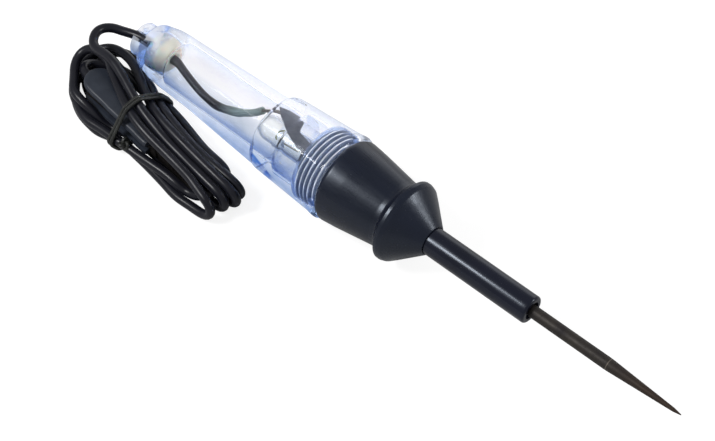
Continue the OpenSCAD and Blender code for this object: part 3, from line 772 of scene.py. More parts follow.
def painted_thread_glints(s, colour, station, away, angle):
    """The handle's thread, in painted reflection: a hazy blue, with white glints on the crests.

    A crest is where cos(2 pi station / pitch + angle) is near 1.
    """
    zone = s.times(s.range(station, HANDLE_FRONT + 0.5, HANDLE_FRONT + 0.8),
                   s.range(station, THREAD_END - 0.1, THREAD_END - 0.4), s.calc("LESS_THAN", away, 9.3))
    turn = s.calc("ADD", s.times(station, 2 * math.pi / PITCH), angle)
    crest = s.range(s.calc("COSINE", turn), 0.72, 0.95)
    # painted reflection: blue between the crests and white glints on them, which veil the thread
    colour = s.blend(zone, colour, s.blend(crest, (0.36, 0.48, 0.76), (0.90, 0.92, 0.96)))
    painted_thread_veil = s.calc("ADD", s.times(crest, 0.55), 0.22)
    return colour, s.times(zone, painted_thread_veil)


def soft_vinyl(name, colour, rough, sheen, pale=None):
    """Soft vinyl: satin, with a faint mottle, fine grain and rubbed lighter places.

    With pale = (from x, to x, colour), in mm, it fades to that colour along X.
    """
    s = Surface(name)
    mottle = s.noise(220, 4, 0.6)
    rubbed = s.range(s.noise(45, 4, 0.6), 0.48, 0.68)
    fine = s.noise(3000, 2)
    base = s.blend(s.range(mottle, 0.35, 0.65), colour, scaled(colour, 1.3, 0.001))
    base = s.blend(s.times(rubbed, 0.35), base, scaled(colour, 1.6, 0.003))
    if pale:
        base = s.blend(s.range(s.split()[0], pale[0], pale[1]), base, pale[2])
    glance = s.range(mottle, 0.3, 0.7, rough - 0.05, rough + 0.07)
    normal = s.bump(fine, 0.16, 0.00006)
    normal = s.bump(mottle, 0.10, 0.00015, normal)
    return s.finish(Base_Color=base, Roughness=glance, Normal=normal, Specular_IOR_Level=0.30,
                    Sheen_Weight=sheen, Sheen_Roughness=0.5, Sheen_Tint=(0.75, 0.75, 0.9))


def cream_plastic():
    """Cream plastic of the cord plug, a little translucent, yellower in patches."""
    s = Surface("plug")
    tone = s.noise(150, 4)
    base = s.blend(s.range(tone, 0.35, 0.65), (0.68, 0.69, 0.63), (0.72, 0.70, 0.56))
    normal = s.bump(s.noise(900, 3), 0.1, 0.0001)
    return s.finish(Base_Color=base, Roughness=0.38, Subsurface_Weight=0.25, Subsurface_Scale=0.004,
                    Normal=normal)


def elastic_band():
    """Elastic of the tie: olive grey, with fine braiding across its own length."""
    s = Surface("elastic")
    uv = s.add("ShaderNodeUVMap", {"uv_map": "along"}).outputs[0]
    wave = s.add("ShaderNodeTexWave", {"wave_type": "BANDS", "bands_direction": "DIAGONAL"}, Scale=0.6,
                 Distortion=1.5, Detail=2.0)
    s.put(wave.inputs["Vector"], s.place((1, 6, 1), uv))
    tone = s.noise(300, 4)
    base = s.blend(s.range(tone, 0.35, 0.65), (0.009, 0.010, 0.009), (0.022, 0.024, 0.021))
    return s.finish(Base_Color=base, Roughness=0.42, Normal=s.bump(wave.outputs["Fac"], 0.35, 0.00012))


# Pieces

def body_of(node):
    """Name of the body that a node belongs to."""
    return next(name for name, nodes in frame["record"]["behaviour"]["bodies"].items() if node in nodes)


def take_place(obj, *nodes):
    """Lets a detailed piece ride on the body of the nodes that it replaces."""
    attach(obj, body_of(nodes[0]))
    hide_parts(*nodes)


def cut(obj, tool):
    """Takes the tool's shape out of a piece, keeps the result in its mesh and removes the tool."""
    modifier = obj.modifiers.new("cut", "BOOLEAN")
    modifier.operation = "DIFFERENCE"
    modifier.solver = "EXACT"
    modifier.object = tool
    mesh = bpy.data.meshes.new_from_object(obj.evaluated_get(bpy.context.evaluated_depsgraph_get()))
    obj.modifiers.clear()
    obj.data = mesh
    bpy.data.objects.remove(tool)
    if len(mesh.polygons) < 10:
        raise RuntimeError("the cut left nothing of " + obj.name)


def finish_cut(obj, smooth_angle, material):
    """Smooth shading with sharp edges, and one material, for a piece that was cut."""
    obj.data.shade_smooth()
    obj.data.set_sharp_from_angle(angle=math.radians(smooth_angle))
    obj.data.materials.clear()
    obj.data.materials.append(material)


def block(low, high, to_row):
    """A box between two corners in a local frame, whose corners to_row takes to the row frame."""
    corners = [(x, y, z) for x in (low[0], high[0]) for y in (low[1], high[1]) for z in (low[2], high[2])]
    faces = [(0, 1, 3, 2), (4, 6, 7, 5), (0, 4, 5, 1), (2, 3, 7, 6), (0, 2, 6, 4), (1, 5, 7, 3)]
    return make_object("tool", to_row(np.array(corners, float)), faces, None)


def on_axis(turn):
    """A function that takes local points (up, across, station) to the row frame, turned about the axis.

    With the turn in degrees, local up becomes cos(turn) up and sin(turn) across.
    """
    c, s = math.cos(math.radians(turn)), math.sin(math.radians(turn))

    def to_row(p):
        """Turns the points and puts them on the tester's axis."""
        x, y = p[:, 0] * c - p[:, 1] * s, p[:, 0] * s + p[:, 1] * c
        return np.stack([TIP_X - p[:, 2], y, AXIS_Z + x], axis=1)

    return to_row


def join(pieces, name, smooth_angle=60):
    """Several pieces with quads only, made one. Their lengthways UV comes along where they have it."""
    verts, faces, uvs, base = [], [], [], 0
    for piece in pieces:
        mesh = piece.data
        co = np.empty(3 * len(mesh.vertices), np.float32)
        mesh.vertices.foreach_get("co", co)
        idx = np.empty(len(mesh.loops), np.int32)
        mesh.loops.foreach_get("vertex_index", idx)
        if "along" in mesh.uv_layers:
            uv = np.zeros(2 * len(mesh.loops), np.float32)
            mesh.uv_layers["along"].data.foreach_get("uv", uv)
            at = np.zeros((len(mesh.vertices), 2), np.float32)
            at[idx] = uv.reshape(-1, 2)
            uvs.append(at)
        verts.append(co.reshape(-1, 3) / MM)
        faces.append(idx.reshape(-1, 4) + base)
        base += len(mesh.vertices)
    material = pieces[0].data.materials[0]
    for piece in pieces:
        bpy.data.objects.remove(piece)
    uvs = np.vstack(uvs) if uvs else None
    return make_object(name, np.vstack(verts), np.vstack(faces), material, smooth_angle, uvs)


def soft_min(a, b, width):
    """The smaller of two values, rounded off where they are closer than the width."""
    h = np.clip(0.5 + 0.5 * (a - b) / width, 0, 1)
    return a * (1 - h) + b * h - width * h * (1 - h)


def thread_wave(station, angle):
    """Height of a rounded right-hand thread, 0 to 1: half of 1 + cos(2 pi station / pitch + angle)."""
    return 0.5 + 0.5 * np.cos(2 * math.pi * station / PITCH + angle)


def build_handle(look):
    """The clear handle: collar, five flats, rounded end and slotted boss round a stepped bore.

    Outside, its radius is the smaller of the turned outline and the flats, which lie at distance d from the
    axis, so at the angle t from a flat's middle the radius is d / cos t.
    """
    flat_turns = np.radians(60 + 72 * np.arange(5))
    flat_front, flat_back, flat_length = 7.85, 7.1, 33.6
    slope = (flat_front - flat_back) / flat_length
    flats_from = COLLAR_BACK + 0.3
    beyond = 99.0
    boss_r, chamber_r, holder_r, plug_r = 4.4, 7.6, 6.3, 4.6
    thread_r, mouth_r, thread_depth = 9.05, 9.55, 0.55
    outer = round_corners([(mouth_r, HANDLE_FRONT), (10.45, HANDLE_FRONT), (10.85, HANDLE_FRONT + 0.6),
                           (10.78, HANDLE_FRONT + 1.6), (10.6, HANDLE_FRONT + 2.4),
                           (10.1, HANDLE_FRONT + 11.1), (9.82, COLLAR_BACK - 4), (9.6, COLLAR_BACK - 0.5),
                           (9.3, COLLAR_BACK + 0.35),
                           (8.5, COLLAR_BACK + 11.1), (7.55, COLLAR_BACK + 23.5), (7.25, GRIP_BACK),
                           (6.9, GRIP_BACK + 3.3), (6.0, DOME_BACK - 1.2), (boss_r, DOME_BACK),
                           (boss_r, HANDLE_BACK - 0.1), (BOSS_BORE_R, HANDLE_BACK)],
                          [0, 0.3, 0.5, 1.2, 1.5, 30, 12, 0.5, 0.4, 60, 60, 6, 5, 1.2, 0.25, 0.3, 0], 6)
    inner = round_corners([(BOSS_BORE_R, HANDLE_BACK), (BOSS_BORE_R, PLUG_BACK), (plug_r, PLUG_BACK),
                           (plug_r, GRIP_BACK - 0.6), (HOLLOW_R, GRIP_BACK - 1.6), (HOLLOW_R, LAMP_STEP),
                           (holder_r, LAMP_STEP), (holder_r, HOLDER_STEP), (chamber_r, HOLDER_STEP),
                           (chamber_r, THREAD_END), (thread_r, THREAD_END), (thread_r, HANDLE_FRONT + 0.5),
                           (mouth_r, HANDLE_FRONT)],
                          [0, 0.1, 0.3, 0.3, 0.6, 0.15, 0.3, 0.15, 0.3, 0.15, 0.2, 0.2, 0], 4)
    outer = refine(outer, 0.6)
    step = np.searchsorted(outer[:, 1], flats_from)
    edge = np.array([np.interp(flats_from, outer[:, 1], outer[:, 0]), flats_from])
    outer = np.vstack([outer[:step], [edge], [edge + [0, 0.03]], [edge + [0, 0.12]], outer[step:]])
    thread = inner[:, 1] < THREAD_END + 0.01
    fine = np.vstack([refine(inner[~thread], 0.8), refine(inner[thread], 0.09)])
    profile = np.vstack([outer[:-1], fine[:-1]])
    is_outer = (np.arange(len(profile)) < len(outer) - 1)[:, None]

    def shape(s, a):
        """How far the flats and the thread shift the turned radius."""
        r = profile[:, 0:1] + 0 * a
        flat = flat_front - slope * (s - flats_from)
        reach = np.full_like(s + a, beyond)
        for turn in flat_turns:
            c = np.cos(a - turn)
            reach = np.minimum(reach, np.where(c > 0.3, flat / np.maximum(c, 0.3), beyond))
        flattened = np.minimum(soft_min(r, reach, 0.22), r)
        blend = np.clip((s - flats_from) / 0.03, 0, 1)
        round_end = np.clip((GRIP_BACK + 6 - s) / 4, 0, 1)
        outside = r + (flattened - r) * blend * round_end
        thread_from, thread_to = HANDLE_FRONT + 0.6, THREAD_END - 0.25
        in_thread = (s > thread_from) & (s < thread_to) & (profile[:, 0:1] > thread_r - 0.15)
        ends = np.clip((s - thread_from) / 0.6, 0, 1) * np.clip((thread_to - s) / 0.5, 0, 1)
        inside = r - np.where(in_thread, thread_depth * ends * thread_wave(s, a), 0)
        return np.where(is_outer, outside, inside) - r

    obj = turned_object("handle_clear", profile, look["clear"], 192, True, shape, 28)
    for turn in (60, 150):
        cut(obj, block((-8, -0.7, PLUG_BACK + 0.9), (8, 0.7, HANDLE_BACK + 1), on_axis(turn)))
    finish_cut(obj, 28, look["clear"])
    take_place(obj, "handle")
    return obj


def build_nose(look):
    """The black nose: a flared guard flange, a waisted body and the threaded spigot, round a hollow core.

    It is a profile turned round the axis; the spigot's thread stands out by its depth times thread_wave.
    """
    middle = NOSE_FRONT + 7.8
    spigot_r, chamber_r, pocket_r, core_bore_r, sleeve_bore_r = 8.35, 7.05, 4.4, 1.3, 3.4
    thread_depth = 0.5
    outside = round_corners([(3.45, NOSE_FRONT), (3.75, NOSE_FRONT), (8.5, middle - 2.4),
                             (9.75, middle - 0.9), (10.1, middle + 0.1), (10.1, middle + 0.9),
                             (9.3, middle + 1.5), (8.5, middle + 2.3), (8.5, middle + 3.6),
                             (10.0, NOSE_BACK - 5), (10.45, NOSE_BACK - 1.0),
                             (10.0, NOSE_BACK), (spigot_r, NOSE_BACK), (spigot_r, SPIGOT_END - 0.5),
                             (7.9, SPIGOT_END), (chamber_r, SPIGOT_END)],
                            [0, 0.25, 2.5, 0.9, 0.6, 0.3, 0.4, 0.8, 3, 30, 1.2, 0.6, 0.1, 0.2, 0.2, 0], 7)
    inside = np.array([(chamber_r, SPIGOT_END), (chamber_r, CHAMBER_FLOOR), (pocket_r, CHAMBER_FLOOR),
                       (pocket_r, POCKET_FLOOR), (core_bore_r, POCKET_FLOOR), (core_bore_r, SLEEVE_BACK),
                       (sleeve_bore_r, SLEEVE_BACK), (sleeve_bore_r, NOSE_FRONT + 0.3), (3.45, NOSE_FRONT)])
    thread = (outside[:, 1] > NOSE_BACK + 0.01) & (outside[:, 0] > 8.3)
    first = int(np.argmax(thread))
    last = len(thread) - int(np.argmax(thread[::-1]))
    body = refine(outside[:first], 0.5)
    spigot = refine(outside[first - 1:last], 0.08)
    profile = np.vstack([body, spigot[1:], outside[last:-1], refine(inside, 1.5)[:-1]])
    row = np.arange(len(profile))
    spigot_rows = (row >= len(body)) & (row < len(body) + len(spigot) - 1)

    def shape(s, a):
        """How far the thread shifts the turned radius."""
        ends = np.clip((s - NOSE_BACK - 0.5) / 0.7, 0, 1) * np.clip((SPIGOT_END - 0.5 - s) / 0.5, 0, 1)
        return np.where(spigot_rows[:, None], thread_depth * ends * thread_wave(s, a + math.pi), 0)

    obj = turned_object("nose_body", profile, look["nose"], 192, True, shape, 32)
    take_place(obj, "nose_cap")
    return obj


def build_sleeve(look):
    """The glossy insulating sleeve: a turned profile, with a rounded lip round the recess of the probe."""
    front, outer_r, core_bore_r, lip = SLEEVE_FRONT, 3.35, 1.3, 0.6
    back = NOSE_FRONT + 6
    profile = np.array([(2.15, front + 0.05)] + arc((outer_r - lip, front + lip), lip, -90, 0, 8)
                       + [(outer_r, front + 4), (outer_r, back), (core_bore_r, back),
                          (core_bore_r, front + 1.4), (1.75, front + 1.35), (2.05, front + 1.0)])
    obj = turned_object("sleeve_body", refine(profile, 1.2), look["sleeve"], 128, True, None, 32)
    take_place(obj, "probe_sleeve")
    return obj


def build_probe(look):
    """The probe: a turned profile of a short point, a long ground taper, the shank and a thinner core."""
    shank_r, core_r, core_back = 1.45, 1.25, 86.9
    profile = round_corners([(0.02, 0.0), (0.12, 0.1), (0.45, 2.0), (1.41, 17.9), (shank_r, 18.9),
                             (shank_r, SLEEVE_FRONT), (core_r, SLEEVE_FRONT), (core_r, core_back - 0.3),
                             (0.95, core_back)],
                            [0, 0.1, 1.2, 3, 3, 0.02, 0.02, 0.02, 0], 6)
    obj = turned_object("probe_pin", refine(profile, 0.6), look["probe"], 64)
    take_place(obj, "probe")
    return obj


def build_glass(look):
    """The lamp's glass: a thin tube with a round end, and inside it a hollow that leaves a pinched foot."""
    root = BASE_BACK - 3
    neck_r, outer_r, inner_r = 3.0, 3.1, 2.7
    centre = (0, GLASS_END - outer_r)
    shell = np.array([(neck_r, root), (neck_r, BASE_BACK + 0.05), (outer_r, BASE_BACK + 0.1)]
                     + arc(centre, outer_r, 0, 90, 20))
    hollow = np.array(arc(centre, inner_r, 90, 0, 20)
                      + [(inner_r, root + 2.4), (1.6, root + 2.45), (0.9, root + 2.6), (0.75, root + 5.2),
                         (0.4, root + 5.5), (0.0, root + 5.55)])
    skins = [turned_object("glass_skin", refine(profile, 1.0), look["glass"], 96, False, None, 40)
             for profile in (shell, hollow)]
    obj = join(skins, "lamp_bulb", 40)
    take_place(obj, "lamp_glass")
    return obj


def build_inner_lead(look):
    """The lead inside the handle: through boss and plug, then in a shallow bow to the lamp holder."""
    in_boss_r = 0.95
    span = INNER_END - PLUG_FRONT
    route = [(HANDLE_BACK - d, 0, 0) for d in (0, 4, 8)]
    route += [(PLUG_FRONT + span * t, HOLLOW_R * u, HOLLOW_R * v) for t, u, v in INNER_TURNS]
    path = spline([(TIP_X - s, y, AXIS_Z + z) for s, y, z in route], 0.5)
    radius = np.interp(TIP_X - path[:, 0], [PLUG_FRONT - 2.5, PLUG_FRONT], [in_boss_r, LEAD_R])
    obj = tube("lead_inside", path, radius, look["inner"], 20)
    take_place(obj, "inner_lead")
    return obj


def build_strands(look):
    """The bared strands: five wires twisted round each other, from the lead's end to the contact leaf.

    Wire k lies at the angle 2 pi (k / 5 + way / lay) round the middle, where lay is the length of a turn.
    """
    wires, wire_r, off_middle, lay, step = 5, 0.17, 0.24, 4.5, 0.15
    reach = LEAF_R - STRAND_R - 0.15
    route = [(INNER_END + 1.2, 0.55, 1.6), (INNER_END - 0.05, 1.12, 2.41),
             (GLASS_END - 1.1, 0.28 * reach, 0.67 * reach), (GLASS_END - 3.1, 0.37 * reach, 0.85 * reach),
             (GLASS_END - 5.7, 0.43 * reach, 0.9 * reach), (HOLDER_BACK + 0.3, 0.43 * reach, 0.9 * reach)]
    middle = spline([(TIP_X - s, y, AXIS_Z + z) for s, y, z in route], step)[6:]
    u, v = frames(middle)
    pieces = []
    for k in range(wires):
        a = 2 * math.pi * (k / wires + np.arange(len(middle)) * step / lay)[:, None]
        path = middle + off_middle * (np.cos(a) * u + np.sin(a) * v)
        pieces.append(tube("wire", path, wire_r, look["wire"], 8))
    obj = join(pieces, "wire_strands")
    take_place(obj, "lead_strands")
    return obj


def build_plug(look):
    """The cream plug that holds the lead in the handle's end, turned with a rounded front and a bore."""
    bore_r, outer_r = 1.25, 4.5
    profile = round_corners([(bore_r, PLUG_FRONT + 0.1), (1.9, PLUG_FRONT), (3.0, PLUG_FRONT + 0.1),
                             (outer_r, PLUG_FRONT + 1.7), (outer_r, PLUG_BACK - 0.15),
                             (4.3, PLUG_BACK - 0.1), (bore_r, PLUG_BACK - 0.1)],
                            [0, 0.4, 1.8, 1.2, 0.2, 0.1, 0], 6)
    profile = refine(np.vstack([profile, [(bore_r, PLUG_FRONT + 0.12)]]), 0.8)[:-1]
    obj = turned_object("plug_body", profile, look["plug"], 96, True, None, 32)
    take_place(obj, "cord_plug")
    return obj


def build_grip(name, node, side, width, look):
    """A vinyl grip: a rounded channel over the clip's handle, closed and rounded at its rear end.

    Across, it is a rounded rectangle with a bowed back; lengthways its half width w follows a quarter circle
    at the rear, w = sqrt(1 - (1 - t)^2), and it thins to a soft rim at the front.
    """
    top, skirt, length, rear_round, around = 0.9, -1.25, 25.0, 3.6, 72
    lean = math.atan((LEVER_HIGH - LEVER_LOW) / (CLIP_REAR - CLIP_SHOULDER))
    c, s = math.cos(lean), math.sin(lean)
    corners = [(0, skirt), (GRIP_HALF, skirt), (GRIP_HALF, 0.25), (0, top), (-GRIP_HALF, 0.25),
               (-GRIP_HALF, skirt), (0, skirt)]
    section = even(round_corners(corners, [0, 0.35, 0.9, 9, 0.9, 0.35, 0], 8), None, around + 1)[:-1]
    t = np.concatenate([np.linspace(0, 1, 14) ** 2 * 3.4, np.linspace(3.9, length - 0.4, 56),
                        [length - 0.1, length]])
    w = np.sqrt(np.clip(1 - (1 - np.clip(t / rear_round, 0, 1)) ** 2, 0, 1))
    w[0] = 0.04
    w *= np.where(t > length - 0.35, 0.95, 1) * (1 + 0.012 * np.cos(t * 1.1))
    middle = (top + skirt) / 2
    x = np.broadcast_to((t - (CLIP_REAR + 1))[:, None], (len(t), around)) + CLIP_REAR
    y = section[None, :, 0] * w[:, None]
    z = middle + (section[None, :, 1] - middle) * (0.45 + 0.55 * w)[:, None]

    def on_lever(x, y, z):
        """Points in the slanted frame at the rear of a handle of the clip, as points in the clip's frame."""
        return np.stack([x * c + z * s - CLIP_REAR, y, (-x * s + z * c + LEVER_HIGH) * side], axis=-1)

    verts = on_lever(x, y, z).reshape(-1, 3)
    ends = [verts[:around].mean(axis=0), verts[-around:].mean(axis=0)]
    faces = capped_faces(len(t), around)
    if side > 0:
        faces = faces[:, ::-1]
    obj = make_object(name, from_clip(np.vstack([verts, ends])), faces, look["grip"], 50)
    half_slot = width / 2 + 0.05
    tool = block((0, -half_slot, -4), (30, half_slot, 0.05), lambda p: from_clip(on_lever(*p.T)))
    if side < 0:
        tool.data.flip_normals()
    cut(obj, tool)
    finish_cut(obj, 40, look["grip"])
    take_place(obj, node)
    return obj


def lead_path():
    """The wound lead's centreline in mm, with a point every 0.75 mm."""
    way = lead_way()
    path = smooth(even(wind_lead(way), 0.75), 1.0)
    path[0], path[-1] = way[0], way[-1]
    return path


def build_lead(look, path):
    """The lead: out of the boss, six turns of a hank and in between the grips of the clip."""
    obj = tube("lead", path, LEAD_R, look["lead"], 20)
    take_place(obj, "lead_run", "lead_hank", "lead_tail")
    return obj


def tie_section(path, reach):
    """The outline that the tie is pulled tight along: the hull of all strands where it goes round.

    Each strand that crosses the tie's plane adds a circle of its own radius plus half the tie's thickness.
    """
    q = tie_plane(path)
    cross = np.nonzero(q[:-1, 0] * q[1:, 0] < 0)[0]
    share = (q[cross, 0] / (q[cross, 0] - q[cross + 1, 0]))[:, None]
    middle = q[cross] * (1 - share) + q[cross + 1] * share
    a = np.linspace(0, 2 * math.pi, 24, endpoint=False)
    rings = middle[:, None, 1:] + (LEAD_R + reach) * np.stack([np.cos(a), np.sin(a)], axis=-1)[None]
    return hull(rings.reshape(-1, 2))


def build_tie(look, path):
    """The elastic tie: two strands side by side round the hank, and the knot that joins them.

    Each strand follows the hank's outline, smoothed, and weaves a little across it. The knot is a trefoil,
    (sin t + 2 sin 2t, cos t - 2 cos 2t, -sin 3t), scaled and turned.
    """
    n, rounds, apart, weave = 160, 6, 0.47, 0.10
    outline = tie_section(path, TIE_R + 0.05)
    ring = even(np.vstack([outline, outline[:1]]), None, n + 1)[:-1]
    for _ in range(rounds):
        ring = (ring + 0.5 * (np.roll(ring, 1, axis=0) + np.roll(ring, -1, axis=0))) / 2
    ring[:, 1] = np.maximum(ring[:, 1], TIE_R + 0.02)
    loops = []
    for k, side in enumerate((-1, 1)):
        along = side * (apart + weave * np.sin(np.arange(n) / n * 4 * math.pi + k))
        loop = from_tie_plane(np.column_stack([along, ring]))
        loops.append(tube("loop", loop, TIE_R, look["tie"], 14, True))
    t = np.linspace(0, 2 * math.pi, 96, endpoint=False)
    knot = np.column_stack([np.sin(t) + 2 * np.sin(2 * t), np.cos(t) - 2 * np.cos(2 * t), -np.sin(3 * t)])
    knot *= np.array([0.42, 0.42, 0.55])
    turn = np.array([[0.2, 0.95, 0.2], [-0.9, 0.25, 0.3], [0.3, -0.2, 0.95]])
    loops.append(tube("loop", knot @ turn + KNOT_AT, TIE_R, look["tie"], 14, True))
    obj = join(loops, "tie_loops")
    take_place(obj, "hank_tie")
    return obj


# Stage

def look_at(obj, target):
    """Turns a camera or lamp so that its own -Z axis points at the target."""
    obj.rotation_euler = (Vector(target) - obj.location).to_track_quat("-Z", "Y").to_euler()


def floor_material():
    """Pale floor that takes the object's shadow.

    What looks at it, also through clear plastic, sees a glow of 0.84 and the light on a grey of 0.3, which
    add up to white out of the shadow and a little less in it. Other rays meet a plain grey floor.
    """
    s = Surface("floor")
    path = s.add("ShaderNodeLightPath")
    seen = s.calc("MAXIMUM", path.outputs["Is Camera Ray"], path.outputs["Is Transmission Ray"])
    white = s.add("ShaderNodeEmission", Color=(1, 1, 1), Strength=s.times(seen, 0.84))
    grey = s.add("ShaderNodeBsdfDiffuse", Color=s.blend(seen, (0.60, 0.60, 0.60), (0.30, 0.30, 0.30)))
    both = s.add("ShaderNodeAddShader")
    s.tree.links.new(grey.outputs[0], both.inputs[0])
    s.tree.links.new(white.outputs[0], both.inputs[1])
    s.tree.links.new(both.outputs[0], s.out.inputs["Surface"])
    return s.mat


def build_stage(world_strength, key_power):
    """Camera, lamps, world and the white floor.

    The world lights the tester at its strength. To the camera and through clear plastic it is 1, or white.
    """
    scene = bpy.context.scene
    cam_data = bpy.data.cameras.new("camera")
    cam = bpy.data.objects.new("camera", cam_data)
    scene.collection.objects.link(cam)
    cam.location = CAMERA_AT
    look_at(cam, CAMERA_TARGET)
    cam_data.sensor_width = 36
    cam_data.lens = CAMERA_LENS
    cam_data.clip_start = 0.01
    scene.camera = cam

    world = bpy.data.worlds.new("world")
    scene.world = world
    world.use_nodes = True
    tree = world.node_tree
    back = tree.nodes["Background"]
    back.inputs["Color"].default_value = (1, 1, 1, 1)
    path = tree.nodes.new("ShaderNodeLightPath")
    seen = tree.nodes.new("ShaderNodeMath")
    seen.operation = "MAXIMUM"
    strength = tree.nodes.new("ShaderNodeMix")
    tree.links.new(path.outputs["Is Camera Ray"], seen.inputs[0])
    tree.links.new(path.outputs["Is Transmission Ray"], seen.inputs[1])
    tree.links.new(seen.outputs[0], strength.inputs[0])
    strength.inputs[2].default_value = world_strength
    strength.inputs[3].default_value = 1.0
    tree.links.new(strength.outputs[0], back.inputs["Strength"])

    for name, place, size, power in (("key", (-0.24, -0.30, 0.42), 0.15, key_power),
                                     ("fill", (0.35, 0.34, 0.29), 0.16, 0.50 * key_power),
                                     ("back", (-0.25, 0.52, 0.10), 0.40, 0.25 * key_power)):
        data = bpy.data.lights.new(name, "AREA")
        data.size = size
        data.energy = power
        lamp = bpy.data.objects.new(name, data)
        scene.collection.objects.link(lamp)
        lamp.location = place
        look_at(lamp, (0, 0, 0))

    half = 1500.0
    corners = [(-half, -half, 0), (half, -half, 0), (half, half, 0), (-half, half, 0)]
    floor = make_object("floor", corners, [(0, 1, 2, 3)], floor_material())
    scene.view_settings.view_transform = "Standard"


# Add-on

def colour_property(name, text, value):
    """A colour setting with its name, description and default."""
    return FloatVectorProperty(name=name, description=text, default=value, size=3, subtype="COLOR", min=0,
                               max=1)


class TesterLooks(PropertyGroup):
    """Colours and strengths that someone may want to change."""
    nose_colour: colour_property("Nose", "Base colour of the black nose", (0.0015, 0.0032, 0.011))
    lead_colour: colour_property("Lead", "Base colour of the lead's vinyl", (0.005, 0.0055, 0.010))
    grip_colour: colour_property("Clip grips", "Base colour of the clip's grips", (0.020, 0.025, 0.036))
    clear_tint: colour_property("Handle tint", "Tint of the clear handle", (0.962, 0.963, 0.984))
    world_light: FloatProperty(name="World light", description="Strength of the light from all round",
                               default=0.4, min=0, max=2)
    key_light: FloatProperty(name="Key light", description="Power of the main lamp", default=1.8, min=0,
                             max=50, unit="POWER")


def looks():
    """The settings of the present scene."""
    return bpy.context.scene.tester_looks


def make_materials():
    """All surfaces of the tester, by short names."""
    p = looks()
    return {
        "nose": black_plastic("nose", tuple(p.nose_colour), 0.30, 0.14, 0.50),
        "sleeve": black_plastic("sleeve", (0.003, 0.0035, 0.010), 0.22, 0.05, 0.42),
        # the edge colours of the handle, the holder and the glass, and the handle's low colour, are painted
        # shade and reflection
        "clear": clear_plastic("clear", tuple(p.clear_tint), (0.74, 0.81, 0.95), 1.06,
                               low=(0.18, 0.31, 0.62)),
        "holder": clear_plastic("holder", (0.93, 0.96, 1.0), (0.70, 0.77, 0.92), 1.05, 0.03, 0.05),
        "glass": clear_plastic("glass", (0.97, 0.98, 0.97), (0.45, 0.50, 0.60), 1.10, 0.0, 0.02),
        "probe": worn_metal("probe", (0.050, 0.043, 0.035), (0.018, 0.015, 0.017), 0.47, metallic=0.55,
                            ground=18.5),
        "wire": worn_metal("wire", (0.30, 0.29, 0.28), (0.10, 0.095, 0.09), 0.42),
        "brass": worn_metal("brass", (0.72, 0.56, 0.28), (0.34, 0.24, 0.11), 0.32),
        "steel": worn_metal("steel", (0.50, 0.49, 0.46), (0.22, 0.19, 0.15), 0.34),
        # very dark metal of the clip's jaws and pin
        "dark_metal": worn_metal("dark_metal", (0.065, 0.058, 0.055), (0.02, 0.018, 0.018), 0.42),
        "leaf": worn_metal("leaf", (0.13, 0.145, 0.18), (0.045, 0.052, 0.07), 0.5, metallic=0.4),
        "filament": worn_metal("filament", (0.30, 0.34, 0.10), (0.12, 0.14, 0.05), 0.5, metallic=0.5),
        "spring": worn_metal("spring", (0.66, 0.66, 0.67), (0.36, 0.35, 0.34), 0.25),
        "insulator": black_plastic("insulator", (0.012, 0.012, 0.014), 0.22, 0.1),
        "lead": soft_vinyl("lead", tuple(p.lead_colour), 0.31, 0.03),
        "inner": soft_vinyl("inner", (0.010, 0.010, 0.014), 0.40, 0.04, (-52, -47, (0.20, 0.26, 0.25))),
        "grip": soft_vinyl("grip", tuple(p.grip_colour), 0.36, 0.05),
        "plug": cream_plastic(),
        "tie": elastic_band(),
    }


# Nodes that keep their own mesh, and the material of each
PLAIN_NODES = {
    "probe_nut": "brass", "contact_spring": "spring", "lamp_base": "brass", "lamp_insulator": "insulator",
    "lamp_contact": "spring", "lamp_supports": "steel", "lamp_filament": "filament", "socket_shell": "steel",
    "lamp_holder": "holder", "contact_leaf": "leaf", "clip_ferrule": "brass",
    "clip_lower_jaw": "dark_metal", "clip_upper_jaw": "dark_metal", "clip_pin": "dark_metal",
    "clip_spring": "spring",
}

LOOK = {}


def materials():
    """The tester's materials, which are made at the first call and shared by all its pieces."""
    if not LOOK:
        LOOK.update(make_materials())
    return LOOK


class PieceOperator:
    """What the operators that build turned and wound pieces have in common."""
    bl_options = {"REGISTER", "UNDO"}
    builders = ()

    def execute(self, context):
        for builder in self.builders:
            builder(materials())
        return {"FINISHED"}


class TESTER_OT_plain(Operator):
    """Gives the pieces that keep their CAD mesh their materials"""
    bl_idname = "tester.plain"
    bl_label = "Lamp, springs and clip metal"
    bl_options = {"REGISTER", "UNDO"}

    def execute(self, context):
        for node, name in PLAIN_NODES.items():
            mesh = frame["nodes"][node].data
            mesh.materials.clear()
            mesh.materials.append(materials()[name])
        return {"FINISHED"}


class TESTER_OT_probe(PieceOperator, Operator):
    """Builds the probe and its sleeve"""
    bl_idname = "tester.probe"
    bl_label = "Probe and sleeve"
    builders = (build_probe, build_sleeve)


class TESTER_OT_nose(PieceOperator, Operator):
    """Builds the black nose with its thread"""
    bl_idname = "tester.nose"
    bl_label = "Nose"
    builders = (build_nose,)


class TESTER_OT_handle(PieceOperator, Operator):
    """Builds the clear handle with its flats, slots and thread"""
    bl_idname = "tester.handle"
    bl_label = "Handle"
    builders = (build_handle,)


class TESTER_OT_inside(PieceOperator, Operator):
    """Builds the lamp's glass, the lead inside the handle, its strands and its plug"""
    bl_idname = "tester.inside"
    bl_label = "Inside of the handle"
    builders = (build_glass, build_inner_lead, build_strands, build_plug)


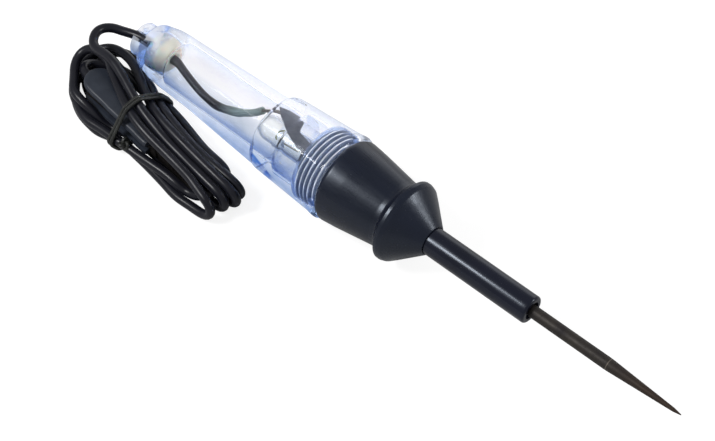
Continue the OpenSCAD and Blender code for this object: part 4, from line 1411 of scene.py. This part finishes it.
class TESTER_OT_clip(Operator):
    """Builds the two vinyl grips of the clip"""
    bl_idname = "tester.clip"
    bl_label = "Clip grips"
    bl_options = {"REGISTER", "UNDO"}

    def execute(self, context):
        build_grip("grip_upper", "clip_upper_grip", 1, UPPER_HANDLE_WIDTH, materials())
        build_grip("grip_lower", "clip_lower_grip", -1, LOWER_HANDLE_WIDTH, materials())
        return {"FINISHED"}


class TESTER_OT_lead(Operator):
    """Builds the tie and the wound lead"""
    bl_idname = "tester.lead"
    bl_label = "Lead and tie"
    bl_options = {"REGISTER", "UNDO"}

    def execute(self, context):
        path = lead_path()
        build_tie(materials(), path)
        build_lead(materials(), path)
        return {"FINISHED"}


class TESTER_OT_stage(Operator):
    """Builds the camera, the lamps, the world and the floor"""
    bl_idname = "tester.stage"
    bl_label = "Stage"
    bl_options = {"REGISTER", "UNDO"}

    def execute(self, context):
        build_stage(looks().world_light, looks().key_light)
        return {"FINISHED"}


class TESTER_PT_panel(Panel):
    """Lists the settings and the steps of the build"""
    bl_label = "Voltage tester"
    bl_space_type = "VIEW_3D"
    bl_region_type = "UI"
    bl_category = "Tester"

    def draw(self, context):
        column = self.layout.column()
        for name in TesterLooks.__annotations__:
            column.prop(context.scene.tester_looks, name)
        for operator in OPERATORS:
            column.operator(operator.bl_idname)


OPERATORS = (TESTER_OT_stage, TESTER_OT_plain, TESTER_OT_probe, TESTER_OT_nose, TESTER_OT_handle,
             TESTER_OT_inside, TESTER_OT_clip, TESTER_OT_lead)
CLASSES = (TesterLooks,) + OPERATORS + (TESTER_PT_panel,)


def register():
    """Makes the settings, operators and panel known to Blender."""
    for cls in CLASSES:
        bpy.utils.register_class(cls)
    bpy.types.Scene.tester_looks = PointerProperty(type=TesterLooks)


def unregister():
    """Takes them out again."""
    del bpy.types.Scene.tester_looks
    for cls in reversed(CLASSES):
        bpy.utils.unregister_class(cls)


def main():
    """Builds the whole scene."""
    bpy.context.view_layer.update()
    register()
    for operator in OPERATORS:
        step = getattr(bpy.ops.tester, operator.bl_idname.split(".")[1])
        if step() != {"FINISHED"}:
            raise RuntimeError("the step did not finish: " + operator.bl_label)


if __name__ == "__main__":
    main()
